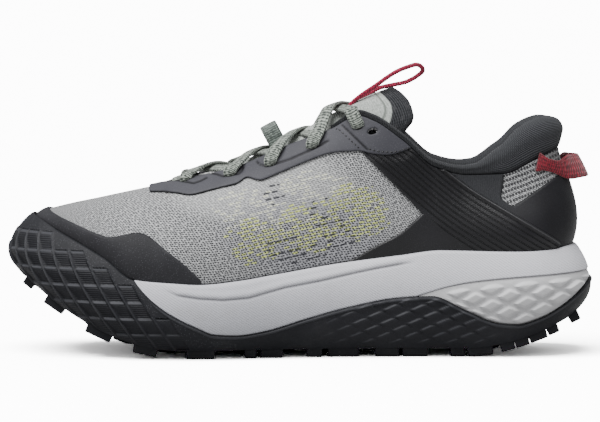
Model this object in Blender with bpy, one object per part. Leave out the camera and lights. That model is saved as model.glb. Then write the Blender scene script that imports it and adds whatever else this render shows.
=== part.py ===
"""Trail running shoe for the left foot, built as a maker assembles it.

The toe points along -X, the outer (lateral) side faces -Y and the shoe stands on its tread at z = 0.
The sole, the upper and everything laid on them are worked out from one last: an outline in plan, a side
wall that stands on it, and an upper surface that rises from the wall's top to the collar, throat or vamp.
Places along the shoe are shares of its length from the heel (0) to the toe (1).
"""

import math

import bmesh
import bpy
import numpy as np

# Driving sizes of the whole shoe
LENGTH = 0.300
BALL_WIDTH = 0.112
WALL_TOP = 0.055
TOE_SPRING = 0.037
HEEL_BEVEL = 0.018
INSTEP_HEIGHT = 0.125

# Sole
HEEL_ROUND = 0.042
TOE_ROUND = 0.070
SPRING_START = 0.700
BEVEL_START = 0.217
LUG_HEIGHT = 0.0045
RUBBER_BASE = 0.003
RUBBER_WALL = 0.0022
BOTTOM_TUCK = 0.007
LIP_INSET = 0.0075
FOAM_LIP = 0.003
BUMPER_END = 0.780
HIDDEN_LIP_DROP = 0.004
FOOT_LEAN = 0.0015
CARRIER_START = 0.275
CARRIER_RECESS = 0.0006
INSOLE_THICKNESS = 0.004

# Upper
UPPER_WALL = 0.0022
THROAT_FRONT = 0.7422565
PANEL_THICKNESS = 0.0009
STRAP_THICKNESS = 0.0013
PANEL_SETBACK = 0.22
TOE_SETBACK = 0.25
EYELET_RADIUS = 0.0023
EYELET_SETBACK = 0.0065
COLLAR_THICKNESS = 0.0125
COLLAR_HEIGHT = 0.0175
COLLAR_DEPTH = 0.024
COLLAR_FRONT = 0.462

# Tongue, laces and loops
TONGUE_THICKNESS = 0.0105
LACE_WIDTH = 0.0072
LACE_THICKNESS = 0.0014
LOOP_CORD = 0.0030
TAB_WIDTH = 0.0130
TAB_THICKNESS = 0.0016
TAB_CLEARANCE = (0.0003, 0.0012, 0.0020)
KEEPER_WIDTH = 0.0088
KEEPER_THICKNESS = 0.0012

GAP = 0.0003

# Resolution of the faceted forms
STATIONS = 27
WALL_ROWS = 6
CORE_ROWS = 4
CORE_OVERSHOOT = 0.02
UPPER_ROWS = 6
EYELET_SIDES = 6
CUTTER_REACH = 0.2

# Sole outline in plan: centre line and half width as shares of BALL_WIDTH
PLAN = {
    "along": (0.00, 0.14, 0.27, 0.40, 0.53, 0.63, 0.72, 0.78, 0.87, 1.00),
    "centre": (0.000, 0.000, -0.004, -0.027, -0.036, -0.027, -0.004, 0.013, 0.036, 0.062),
    "half": (0.384, 0.384, 0.353, 0.339, 0.380, 0.455, 0.496, 0.500, 0.473, 0.430),
}

# Top of the sole's side wall as a share of WALL_TOP, and how far it leans in as a share of LIP_INSET
WALL = {
    "along": (0.00, 0.03, 0.07, 0.13, 0.26, 0.33, 0.44, 0.54, 0.60, 0.67, 0.71, 0.78, 0.83, 0.90, 0.96, 1.00),
    "top": (1.02, 1.02, 0.99, 0.980, 0.99, 0.945, 0.867, 0.776, 0.724, 0.691, 0.703, 0.735, 0.92, 1.12, 1.25, 1.275),
    "lean": (1.00, 1.00, 0.90, 0.75, 0.60, 0.60, 0.60, 0.60, 0.60, 0.60, 0.60, 0.70, 0.90, 1.25, 1.55, 1.60),
}

# Top edge of the rubber along the side, as a share of WALL_TOP, up to the end of the toe bumper
RUBBER_EDGE = {
    "along": (-0.02, 0.00, 0.054, 0.098, 0.131, 0.161, 0.219, 0.278, 0.328, 0.417, 0.489, 0.562, 0.605,
              0.645, 0.672, 0.709, 0.742, 0.780),
    "top": (0.86, 0.72, 0.478, 0.358, 0.311, 0.322, 0.442, 0.573, 0.560, 0.473, 0.369, 0.256, 0.2255,
            0.238, 0.298, 0.3945, 0.513, 0.735),
}

# Top edge of the heel carrier, as a share of WALL_TOP
CARRIER_EDGE = {
    "along": (-0.02, 0.00, 0.065, 0.13, 0.197, 0.24, 0.275),
    "top": (0.80, 0.795, 0.776, 0.753, 0.716, 0.675, 0.620),
}

# Foam top under the foot above the toe spring, as a share of WALL_TOP
FOOTBED = {
    "along": (0.00, 0.25, 0.50, 0.70, 0.85, 0.96, 1.00),
    "height": (0.62, 0.60, 0.51, 0.42, 0.35, 0.24, 0.22),
}

# The upper's columns. "along" is the column's foot; "top_along", "height" (of INSTEP_HEIGHT) and "half"
# (of BALL_WIDTH) place its top on the collar, throat or vamp ridge; "rise" and "drop" are shares of the
# column's height, "swell" and "roll" shares of BALL_WIDTH, and shape its curve.
UPPER = {
    "along": (0.000, 0.070, 0.140, 0.210, 0.270, 0.330, 0.380, 0.410, 0.460, 0.540, 0.610, 0.680, 0.720,
              0.737, 0.800, 0.870, 0.930, 1.000),
    "top_along": (0.057, 0.100, 0.155, 0.215, 0.270, 0.325, 0.375, 0.400, 0.445, 0.530, 0.605, 0.675, 0.715,
                  0.733, 0.790, 0.840, 0.875, 0.900),
    "height": (0.837, 0.789, 0.735, 0.747, 0.787, 0.883, 0.958, 0.975, 0.922, 0.843, 0.762, 0.718, 0.694,
               0.680, 0.638, 0.607, 0.592, 0.582),
    "half": (0.205, 0.215, 0.235, 0.250, 0.255, 0.245, 0.225, 0.212, 0.198, 0.178, 0.160, 0.132, 0.090,
             0.000, 0.000, 0.000, 0.000, 0.000),
    "rise": (0.36, 0.36, 0.36, 0.36, 0.36, 0.36, 0.38, 0.38, 0.40, 0.42, 0.46, 0.50, 0.51,
             0.52, 0.54, 0.55, 0.55, 0.55),
    "swell": (0.060, 0.055, 0.050, 0.045, 0.045, 0.045, 0.045, 0.045, 0.045, 0.042, 0.040, 0.040, 0.040,
              0.040, 0.038, 0.034, 0.025, 0.005),
    "roll": (0.040, 0.030, 0.020, 0.020, 0.025, 0.040, 0.065, 0.075, 0.095, 0.120, 0.150, 0.190, 0.220,
             0.240, 0.240, 0.220, 0.170, 0.070),
    "drop": (0.40, 0.38, 0.38, 0.36, 0.34, 0.30, 0.26, 0.24, 0.20, 0.15, 0.12, 0.09, 0.05,
             0.03, 0.02, 0.01, 0.00, 0.00),
}

# Padded collar round the opening: shares of COLLAR_HEIGHT, COLLAR_THICKNESS and COLLAR_DEPTH, and how far
# it stands upright (1) or follows the upper's slope (0)
COLLAR = {
    "along": (0.000, 0.050, 0.100, 0.150, 0.200, 0.270, 0.330, 0.400, 0.440, 0.470),
    "height": (0.80, 1.00, 1.02, 0.62, 0.28, 0.24, 0.24, 0.22, 0.20, 0.10),
    "thickness": (1.00, 1.00, 0.90, 0.75, 0.62, 0.55, 0.48, 0.40, 0.32, 0.24),
    "depth": (1.00, 1.00, 1.00, 0.95, 0.85, 0.70, 0.50, 0.36, 0.26, 0.16),
    "upright": (1.00, 1.00, 1.00, 1.00, 0.90, 0.70, 0.40, 0.15, 0.00, 0.00),
}

# Tongue: height of its top centre (of INSTEP_HEIGHT), half width and sag (of BALL_WIDTH), thickness
# (of TONGUE_THICKNESS)
TONGUE = {
    "along": (0.738, 0.675, 0.605, 0.530, 0.445, 0.400, 0.375, 0.357, 0.348, 0.345),
    "height": (0.651, 0.680, 0.724, 0.806, 0.905, 0.975, 1.022, 1.053, 1.067, 1.0715),
    "half": (0.110, 0.165, 0.190, 0.200, 0.185, 0.168, 0.162, 0.160, 0.156, 0.150),
    "sag": (0.030, 0.055, 0.070, 0.085, 0.115, 0.140, 0.160, 0.170, 0.170, 0.160),
    "thickness": (0.24, 0.26, 0.28, 0.32, 0.42, 0.55, 0.68, 0.75, 0.66, 0.34),
}

# Panels laid on the upper, drawn from the side: along the shoe, and height as a share of INSTEP_HEIGHT, or
# of WALL_TOP for the toe cap, which follows the sole's wall
TOE_CAP_OUTLINE = (
    (1.02, 1.4545), (0.960, 1.4545), (0.936, 1.3705), (0.917, 1.3295), (0.893, 1.2909), (0.870, 1.2386),
    (0.849, 1.1705), (0.829, 1.1227), (0.812, 1.1227), (0.796, 1.1409), (0.779, 1.1523), (0.766, 1.1409),
    (0.752, 1.0955), (0.731, 0.9864), (0.709, 0.8750), (0.690, 0.7841), (0.678, 0.6591), (0.900, 0.5682),
    (1.02, 0.9091),
)
EYESTAY_OUTLINE = (
    (0.757, 0.760), (0.757, 0.660), (0.715, 0.664), (0.684, 0.658), (0.643, 0.682), (0.606, 0.704),
    (0.590, 0.728), (0.566, 0.718), (0.538, 0.744), (0.455, 0.824), (0.397, 0.836), (0.378, 0.816),
    (0.350, 0.810), (0.326, 0.824), (0.307, 0.846), (0.330, 1.100), (0.600, 1.100),
)
STRAP_OUTLINE = (
    (0.391, 0.826), (0.375, 0.806), (0.350, 0.800), (0.328, 0.813), (0.305, 0.837),
    (0.207, 0.680), (0.097, 0.524), (0.058, 0.460), (0.060, 0.360), (0.238, 0.360), (0.238, 0.456),
    (0.292, 0.584),
)
UNDERLAY_OUTLINE = (
    (0.434, 0.378), (0.407, 0.406), (0.369, 0.458), (0.328, 0.510), (0.296, 0.576), (0.242, 0.450),
    (0.242, 0.300), (0.434, 0.300),
)
COUNTER_OUTLINE = (
    (0.301, 0.843), (0.2025, 0.676), (0.0925, 0.520), (0.053, 0.456), (0.054, 0.300), (-0.03, 0.300),
    (-0.03, 0.765), (0.020, 0.750), (0.063, 0.728), (0.136, 0.615), (0.150, 0.626), (0.158, 0.650),
    (0.154, 0.720), (0.150, 0.900), (0.260, 0.950),
)

# Eyelets on each side, as places along the throat's edge, and the row of the spare pair
EYELETS = (0.692, 0.618, 0.548, 0.478, 0.408)
SPARE_EYELET = 0.372


def smooth_curve(table, column):
    """A monotone cubic through one column of a table, as a function of the place along the shoe."""
    order = np.argsort(table["along"])
    place = np.array(table["along"], float)[order]
    value = np.array(table[column], float)[order]
    step = np.diff(place)
    slope = np.diff(value) / step
    tangent = np.zeros(len(place))
    tangent[0], tangent[-1] = slope[0], slope[-1]
    for i in range(1, len(place) - 1):
        if slope[i - 1] * slope[i] > 0:
            before = 2 * step[i] + step[i - 1]
            after = step[i] + 2 * step[i - 1]
            tangent[i] = (before + after) / (before / slope[i - 1] + after / slope[i])

    def read(along):
        at = min(max(along, place[0]), place[-1])
        i = min(max(int(np.searchsorted(place, at)) - 1, 0), len(step) - 1)
        t = (at - place[i]) / step[i]
        return float(
            value[i] * (1 + 2 * t) * (1 - t) ** 2
            + tangent[i] * step[i] * t * (1 - t) ** 2
            + value[i + 1] * t * t * (3 - 2 * t)
            + tangent[i + 1] * step[i] * t * t * (t - 1)
        )

    return read


def curves(table):
    return {column: smooth_curve(table, column) for column in table if column != "along"}


plan, wall, rubber_edge = curves(PLAN), curves(WALL), curves(RUBBER_EDGE)
carrier_edge, footbed, upper = curves(CARRIER_EDGE), curves(FOOTBED), curves(UPPER)
collar, tongue = curves(COLLAR), curves(TONGUE)


def x_of(along):
    return LENGTH * (0.5 - along)


def place_of(x):
    return 0.5 - x / LENGTH


def end_rounding(along):
    """1 along the shoe's middle, falling to 0 at both ends as part of a rounded oval."""
    heel = max(0.0, 1 - along * LENGTH / HEEL_ROUND)
    toe = max(0.0, 1 - (1 - along) * LENGTH / TOE_ROUND)
    return (1 - min(heel, 1.0) ** 2.3) ** (1 / 2.3) * (1 - min(toe, 1.0) ** 2.2) ** (1 / 2.2)


def half_width(along):
    return BALL_WIDTH * plan["half"](along) * end_rounding(along)


def side_shift():
    """Puts the middle of the sole's full width on y = 0."""
    places = np.linspace(0, 1, 201)
    inner = max(BALL_WIDTH * plan["centre"](a) + half_width(a) for a in places)
    outer = min(BALL_WIDTH * plan["centre"](a) - half_width(a) for a in places)
    return -(inner + outer) / 2


SIDE_SHIFT = side_shift()


def centre_y(along):
    return BALL_WIDTH * plan["centre"](along) + SIDE_SHIFT


def walk_table():
    """Places along the shoe at even steps round its outline, from the heel's end to the toe's."""
    places = 0.5 - 0.5 * np.cos(np.linspace(0, math.pi, 1201))
    widths = np.array([half_width(a) for a in places])
    steps = np.hypot(np.diff(places) * LENGTH, np.diff(widths))
    walked = np.concatenate(([0.0], np.cumsum(steps)))
    return walked / walked[-1], places


WALKED, PLACES = walk_table()


def along_of(turn):
    """Turn 0 is the heel's end, 0.5 the toe's, and the outer side comes before the inner one."""
    turn %= 1.0
    share = 2 * min(turn, 1 - turn)
    return float(np.interp(share, WALKED, PLACES))


def side_of(turn):
    return -1 if turn % 1.0 <= 0.5 else 1


def outline(turn):
    along = along_of(turn)
    return np.array([x_of(along), centre_y(along) + side_of(turn) * half_width(along)])


def outward(turn):
    """Unit normal of the outline in plan, pointing away from the shoe."""
    before, after = outline(turn - 0.004), outline(turn + 0.004)
    run = after - before
    normal = np.array([run[1], -run[0]]) / np.hypot(*run)
    middle = np.array([x_of(along_of(turn)) * 0.5, 0.0])
    return normal if normal @ (outline(turn) - middle) > 0 else -normal


def spring(along):
    """Height of the tread's lower face above the floor."""
    toe = max(0.0, (along - SPRING_START) / (0.977 - SPRING_START))
    heel = max(0.0, (BEVEL_START - along) / (BEVEL_START - 0.023))
    return TOE_SPRING * toe**1.9 + HEEL_BEVEL * heel**1.7


def sole_bottom(along):
    return spring(along) + LUG_HEIGHT


def wall_top(along):
    return WALL_TOP * wall["top"](along)


def footbed_height(along):
    toe = max(0.0, (along - SPRING_START) / (0.977 - SPRING_START))
    return WALL_TOP * footbed["height"](along) + TOE_SPRING * toe**1.9


WIDEST = 0.42


def wall_inset(along, share):
    """How far the side wall stands inside the outline, at a share of its height."""
    if share < WIDEST:
        return BOTTOM_TUCK * (1 - share / WIDEST) ** 2.2
    return LIP_INSET * wall["lean"](along) * ((min(share, 1.3) - WIDEST) / (1 - WIDEST)) ** 2


def cover(along):
    """Thickness of foam lip, or of rubber bumper, outside the upper's foot."""
    blend = min(max((along - 0.75) / 0.05, 0.0), 1.0)
    return (1 - blend) * (FOAM_LIP + GAP) + blend * (RUBBER_WALL + GAP)


def inset_outline(turn, inset):
    return outline(turn) - outward(turn) * inset


def wall_point(turn, share, inset=0.0):
    """A point on the side wall. Heights follow the place where the wall's foot and lip really stand."""
    along = along_of(turn)
    flat = inset_outline(turn, wall_inset(along, share) + inset)
    foot = inset_outline(turn, wall_inset(along, 0.0) + inset)
    lip = inset_outline(turn, wall_inset(along, 1.0))
    low, high = sole_bottom(place_of(foot[0])), wall_top(place_of(lip[0]))
    return np.array([flat[0], flat[1], low + share * (high - low)])


def turns(count):
    """Nearly even turns round the outline, with one column on each side at the throat's front."""
    front = turn_of(THROAT_FRONT, -1)
    before = round(2 * front * count)
    outer = [front * i / before for i in range(before)]
    outer += [front + (0.5 - front) * i / (count - before) for i in range(count - before)]
    return [*outer, 0.5, *[1 - turn for turn in outer[:0:-1]]]


def remove_start_objects():
    for obj in list(bpy.data.objects):
        bpy.data.objects.remove(obj)


def material(name, colour, roughness, metallic=0.0):
    made = bpy.data.materials.new(name)
    made.use_nodes = True
    shader = made.node_tree.nodes["Principled BSDF"]
    shader.inputs["Base Color"].default_value = (*colour, 1.0)
    shader.inputs["Roughness"].default_value = roughness
    shader.inputs["Metallic"].default_value = metallic
    return made


def as_object(name, bm, finish=None, smooth=True):
    mesh = bpy.data.meshes.new(name)
    bm.to_mesh(mesh)
    bm.free()
    obj = bpy.data.objects.new(name, mesh)
    bpy.context.scene.collection.objects.link(obj)
    if finish is not None:
        mesh.materials.append(finish)
    if smooth:
        mesh.shade_smooth()
        mesh.set_sharp_from_angle(angle=math.radians(40))
    return obj


def helper(name, bm):
    """A cutter: it shapes other objects and isn't part of the shoe."""
    obj = as_object(name, bm, smooth=False)
    obj.hide_render = True
    obj.display_type = "WIRE"
    return obj


def boolean(obj, operation, other):
    modifier = obj.modifiers.new(operation.title(), "BOOLEAN")
    modifier.operation = operation
    modifier.solver = "EXACT"
    modifier.object = other
    return obj


def ring_solid(loops):
    """A closed solid through stacked loops of equal length, with flat strips across both ends."""
    bm = bmesh.new()
    rows = [[bm.verts.new(p) for p in loop] for loop in loops]
    count = len(rows[0])
    for low, high in zip(rows, rows[1:]):
        for i in range(count):
            j = (i + 1) % count
            bm.faces.new((low[i], low[j], high[j], high[i]))
    for row in (rows[0], rows[-1]):
        for i in range(count // 2):
            corners = (row[i], row[i + 1], row[(count - i - 1) % count], row[(count - i) % count])
            bm.faces.new(list(dict.fromkeys(corners)))
    bmesh.ops.triangulate(bm, faces=bm.faces, quad_method="FIXED")
    bmesh.ops.recalc_face_normals(bm, faces=bm.faces)
    return bm


def wall_solid(inset=0.0, lift=0.0, overshoot=0.0, rows=WALL_ROWS):
    """The sole's body inside its side wall. overshoot carries it straight up past the wall's top."""
    loops = []
    for row in range(rows):
        share = row / (rows - 1)
        loop = [wall_point(turn, share, inset) for turn in turns(STATIONS)]
        for point in loop:
            point[2] += lift * (1 - share)
        loops.append(loop)
    if overshoot:
        loops.append([p + np.array([0, 0, overshoot]) for p in loops[-1]])
    return ring_solid(loops)


def side_prism(outline_points, low_y=-CUTTER_REACH, high_y=CUTTER_REACH):
    """A block with the given outline in the side view, running across the shoe."""
    bm = bmesh.new()
    near = [bm.verts.new((x, low_y, z)) for x, z in outline_points]
    face = bm.faces.new(near)
    grown = bmesh.ops.extrude_face_region(bm, geom=[face])
    moved = [v for v in grown["geom"] if isinstance(v, bmesh.types.BMVert)]
    bmesh.ops.translate(bm, verts=moved, vec=(0, high_y - low_y, 0))
    bmesh.ops.recalc_face_normals(bm, faces=bm.faces)
    return bm


def edge_points(table, read, start, end, steps, raised=0.0):
    places = np.linspace(start, end, steps)
    return [(x_of(a), WALL_TOP * read["top"](a) + raised) for a in places]


def above_rubber(raised):
    """Everything above the rubber's top edge, behind the toe bumper."""
    edge = edge_points(RUBBER_EDGE, rubber_edge, -0.02, BUMPER_END - raised / LENGTH, 34, raised)
    top = 0.2
    return side_prism([*edge, (edge[-1][0], top), (edge[0][0], top)])


def below_carrier_edge(raised):
    """Everything below the heel carrier's top edge."""
    edge = edge_points(CARRIER_EDGE, carrier_edge, -0.02, CARRIER_START, 14, raised)
    front = CARRIER_START + raised / LENGTH
    return side_prism([*edge, (x_of(front), edge[-1][1]), (x_of(front), -0.05), (edge[0][0], -0.05)])


def cup():
    """The hollow in the midsole that the foot of the upper stands in."""
    low, rim, out = [], [], []
    for turn in turns(STATIONS):
        along = along_of(turn)
        inset = wall_inset(along, 1.0) + cover(along) - GAP
        foot = inset_outline(turn, inset + FOOT_LEAN)
        top = inset_outline(turn, inset)
        height = wall_top(place_of(top[0]))
        low.append(np.array([*foot, footbed_height(place_of(foot[0]))]))
        rim.append(np.array([*top, height - 0.002]))
        out.append(np.array([*top, height + 0.03]))
    return ring_solid([low, rim, out])


LUG_ROWS = (0.062, 0.126, 0.192, 0.260, 0.330, 0.402, 0.474, 0.546, 0.616, 0.684, 0.750, 0.816, 0.878, 0.935)
LUG_LENGTH = 0.0110
LUG_ROOT = 0.0012
LUG_DRAFT = 0.0012
LUG_PITCH = 0.0250
LUG_STAGGER = 0.0045
LUG_TURN = math.radians(20)
LEVEL_SLOPE = 0.05


def lug(bm, x, y, turn_angle, length, width):
    """One tread block whose lower face follows the tread's lift."""
    along = 0.5 - x / LENGTH
    step = 0.004
    slope = math.atan2(spring(along - step) - spring(along + step), 2 * step * LENGTH)
    level = abs(slope) < LEVEL_SLOPE
    if level:
        slope = 0.0
    up = np.array([-math.sin(slope), 0.0, math.cos(slope)])
    ahead = np.array([math.cos(slope), 0.0, math.sin(slope)])
    across = np.array([0.0, 1.0, 0.0])
    c, s = math.cos(turn_angle), math.sin(turn_angle)
    u, v = ahead * c + across * s, -ahead * s + across * c
    foot = np.array([x, y, spring(along)])
    corners = ((-1, -1), (1, -1), (1, 1), (-1, 1))
    low = [foot + u * (a * (length / 2 - LUG_DRAFT)) + v * (b * (width / 2 - LUG_DRAFT)) for a, b in corners]
    high = [foot + u * (a * length / 2) + v * (b * width / 2) + up * (LUG_HEIGHT + LUG_ROOT) for a, b in corners]
    for point in low:
        point[2] = 0.0 if level else max(point[2], 0.0)
    lower = [bm.verts.new(p) for p in low]
    upper_ring = [bm.verts.new(p) for p in high]
    bm.faces.new(lower[::-1])
    bm.faces.new(upper_ring)
    for i in range(4):
        j = (i + 1) % 4
        bm.faces.new((lower[i], lower[j], upper_ring[j], upper_ring[i]))


def lugs():
    """Tread blocks in rows across the shoe: edge blocks on both sides and turned blocks between."""
    bm = bmesh.new()
    for row, along in enumerate(LUG_ROWS):
        reach = half_width(along) - BOTTOM_TUCK - 0.0015
        middle = centre_y(along)
        count = max(2, int(round(2 * reach / LUG_PITCH)))
        width = 2 * reach / count - 0.0045
        for i in range(count):
            y = middle - reach + (i + 0.5) * 2 * reach / count
            edge = i in (0, count - 1)
            stagger = 0.0 if edge else LUG_STAGGER
            angle = 0.0 if edge else LUG_TURN * (1 if (row + i) % 2 else -1)
            lug(bm, x_of(along) + stagger, y, angle, LUG_LENGTH, width if edge else width * 0.85)
    bmesh.ops.recalc_face_normals(bm, faces=bm.faces)
    return bm


def foam_room(name, clearance):
    """The space inside the rubber tray and above its top edge."""
    core = wall_solid(RUBBER_WALL + clearance, RUBBER_BASE + clearance, CORE_OVERSHOOT, CORE_ROWS)
    room = helper(name, core)
    return boolean(room, "UNION", helper(name + "_side", above_rubber(clearance)))


def make_outsole(finish):
    body = as_object("outsole", wall_solid(), finish)
    boolean(body, "UNION", helper("lug_blocks", lugs()))
    boolean(body, "DIFFERENCE", foam_room("tray_room", 0.0))
    return body


def above_hidden_lip():
    """Everything above the foam's rim inside the toe bumper, where the foam stays lower than the rubber."""
    start = BUMPER_END + 0.012
    edge = [(x_of(a), wall_top(a) - HIDDEN_LIP_DROP) for a in np.linspace(start, 1.02, 9)]
    return side_prism([*edge, (edge[-1][0], 0.2), (edge[0][0], 0.2)])


def make_midsole(finish, carrier_finish):
    inner = foam_room("foam_room", GAP)
    hollow = helper("foot_cup", cup())
    carrier_side = helper("carrier_side", below_carrier_edge(0.0))

    body = as_object("midsole", wall_solid(), finish)
    boolean(body, "DIFFERENCE", hollow)
    boolean(body, "DIFFERENCE", helper("above_hidden_lip", above_hidden_lip()))
    boolean(body, "DIFFERENCE", helper("carrier_side_clear", below_carrier_edge(GAP)))
    boolean(body, "INTERSECT", inner)

    carrier = as_object("heel_carrier", wall_solid(inset=CARRIER_RECESS), carrier_finish)
    boolean(carrier, "DIFFERENCE", hollow)
    boolean(carrier, "INTERSECT", carrier_side)
    boolean(carrier, "INTERSECT", inner)
    return body, carrier


def ridge_y(along):
    """Side place of the vamp's ridge and the throat's middle, a little towards the inner side."""
    return centre_y(along) + 0.02 * BALL_WIDTH


def column_handles(turn):
    """The four control points of the upper's curve from the top of the sole's wall to its own top."""
    along = along_of(turn)
    normal = np.array([*outward(turn), 0.0])
    flat = inset_outline(turn, wall_inset(along, 1.0) + cover(along))
    foot = np.array([*flat, wall_top(place_of(flat[0]))])
    top_place = upper["top_along"](along)
    half = BALL_WIDTH * upper["half"](along) * end_rounding(along) * side_of(turn)
    if along >= UPPER["along"][13]:
        half = 0.0
    top = np.array([x_of(top_place), ridge_y(top_place) + half, INSTEP_HEIGHT * upper["height"](along)])
    height = top[2] - foot[2]
    up = np.array([0.0, 0.0, 1.0])
    first = foot + up * height * upper["rise"](along) + normal * BALL_WIDTH * upper["swell"](along)
    second = top - up * height * upper["drop"](along) + normal * BALL_WIDTH * upper["roll"](along)
    return foot, first, second, top


def upper_point(turn, share):
    a, b, c, d = column_handles(turn)
    t = share
    return a * (1 - t) ** 3 + b * 3 * t * (1 - t) ** 2 + c * 3 * t * t * (1 - t) + d * t**3


def upper_normal(turn, share):
    step = 0.004
    high, low = min(share + step, 1.0), max(share - step, 0.0)
    rise = upper_point(turn, high) - upper_point(turn, low)
    run = upper_point(turn + step, share) - upper_point(turn - step, share)
    normal = np.cross(rise, run)
    normal /= np.linalg.norm(normal)
    out = np.array([*outward(turn), 0.6])
    return normal if normal @ out > 0 else -normal


def foot_of_upper(turn):
    along = along_of(turn)
    flat = inset_outline(turn, wall_inset(along, 1.0) + cover(along) + FOOT_LEAN)
    return np.array([*flat, footbed_height(place_of(flat[0])) + GAP])


def upper_sheet(for_panels=False):
    """The upper's outer surface as one sheet of columns, joined along the vamp's ridge.

    For panels it has no foot and ends a little above the sole's lip and below the collar.
    """
    bm = bmesh.new()
    places = turns(STATIONS)
    grid = []
    for turn in places:
        column = [upper_point(turn, i / UPPER_ROWS) for i in range(UPPER_ROWS + 1)]
        if not for_panels:
            column.insert(0, foot_of_upper(turn))
        else:
            setback = PANEL_SETBACK + TOE_SETBACK * min(max((along_of(turn) - 0.75) / 0.1, 0.0), 1.0)
            column[0] = column[0] + (column[1] - column[0]) * setback
            if along_of(turn) < COLLAR_FRONT:
                column[-1] = column[-1] + (column[-2] - column[-1]) * PANEL_SETBACK
        grid.append([bm.verts.new(p) for p in column])
    for i in range(len(places)):
        here, after = grid[i], grid[(i + 1) % len(places)]
        for low in range(len(here) - 1):
            bm.faces.new((here[low], after[low], after[low + 1], here[low + 1]))
    bmesh.ops.remove_doubles(bm, verts=bm.verts, dist=1e-5)
    bmesh.ops.triangulate(bm, faces=bm.faces, quad_method="FIXED")
    bmesh.ops.recalc_face_normals(bm, faces=bm.faces)
    lowest = min(bm.faces, key=lambda f: f.calc_center_median().y)
    if lowest.normal.y > 0:
        bmesh.ops.reverse_faces(bm, faces=bm.faces)
    return bm


def thicken(obj, thickness, offset):
    modifier = obj.modifiers.new("Wall", "SOLIDIFY")
    modifier.thickness = thickness
    modifier.offset = offset
    modifier.use_rim = True
    return obj


def offset_sheet(bm, distance):
    """Moves every vertex of a sheet out along its own normal."""
    bm.normal_update()
    moves = [(v, v.co + v.normal * distance) for v in bm.verts]
    for vert, place in moves:
        vert.co = place
    return bm


def turn_of(along, side):
    share = float(np.interp(along, PLACES, WALKED)) / 2
    return share if side < 0 else 1 - share


def eyelet_seat(along, side, lift=0.0):
    """A point on the upper a little below the throat's edge, and the outward direction there."""
    turn = turn_of(along, side)
    share = 1.0
    top = upper_point(turn, 1.0)
    while share > 0.5 and np.linalg.norm(upper_point(turn, share) - top) < EYELET_SETBACK:
        share -= 0.01
    normal = upper_normal(turn, share)
    return upper_point(turn, share) + normal * lift, normal


def eyelet_punches():
    """Short round punches through the upper and the eyestay at every eyelet."""
    bm = bmesh.new()
    for along in (*EYELETS, SPARE_EYELET):
        for side in (-1, 1):
            seat, normal = eyelet_seat(along, side)
            axis = normal / np.linalg.norm(normal)
            across = np.cross(axis, (1.0, 0.0, 0.0))
            across /= np.linalg.norm(across)
            other = np.cross(axis, across)
            rings = []
            for depth in (-0.006, 0.006):
                ring = []
                for k in range(EYELET_SIDES):
                    angle = (k + 0.5) * 2 * math.pi / EYELET_SIDES
                    spoke = across * math.cos(angle) + other * math.sin(angle)
                    ring.append(bm.verts.new(seat + axis * depth + spoke * EYELET_RADIUS))
                rings.append(ring)
            for k in range(EYELET_SIDES):
                j = (k + 1) % EYELET_SIDES
                bm.faces.new((rings[0][k], rings[0][j], rings[1][j], rings[1][k]))
            bm.faces.new(rings[0])
            bm.faces.new(rings[1])
    bmesh.ops.recalc_face_normals(bm, faces=bm.faces)
    return bm


def make_upper(finish, punches):
    obj = as_object("upper", upper_sheet(), finish)
    thicken(obj, UPPER_WALL, -1.0)
    boolean(obj, "DIFFERENCE", punches)
    return obj




def make_panel(name, finish, side_outline, thickness=PANEL_THICKNESS, side=0, punches=None, unit=INSTEP_HEIGHT):
    """A panel cut from the upper's own surface by an outline drawn from the side."""
    sheet = offset_sheet(upper_sheet(for_panels=True), GAP)
    obj = as_object(name, sheet, finish)
    thicken(obj, thickness, 1.0)
    points = [(x_of(a), unit * h) for a, h in side_outline]
    low = 0.0 if side > 0 else -CUTTER_REACH
    high = 0.0 if side < 0 else CUTTER_REACH
    boolean(obj, "INTERSECT", helper(name + "_outline", side_prism(points, low, high)))
    if punches is not None:
        boolean(obj, "DIFFERENCE", punches)
    return obj


def make_insole(finish):
    low, high = [], []
    for turn in turns(STATIONS):
        along = along_of(turn)
        inset = wall_inset(along, 1.0) + cover(along) + FOOT_LEAN + UPPER_WALL + 0.0012
        flat = inset_outline(turn, inset)
        bottom = footbed_height(place_of(flat[0])) + GAP
        low.append(np.array([*flat, bottom]))
        high.append(np.array([*flat, bottom + INSOLE_THICKNESS]))
    return as_object("insole", ring_solid([low, high]), finish)


# Collar section: out from the upper's outer face (of its thickness) and up (of its height, or of its
# depth inside the shoe where negative)
COLLAR_SECTION = (
    (0.10, 0.35), (0.06, 0.68), (-0.12, 0.92), (-0.38, 1.00), (-0.68, 0.90), (-0.92, 0.60), (-1.00, 0.10),
    (-0.96, -0.35), (-0.72, -0.75),
)


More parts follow.
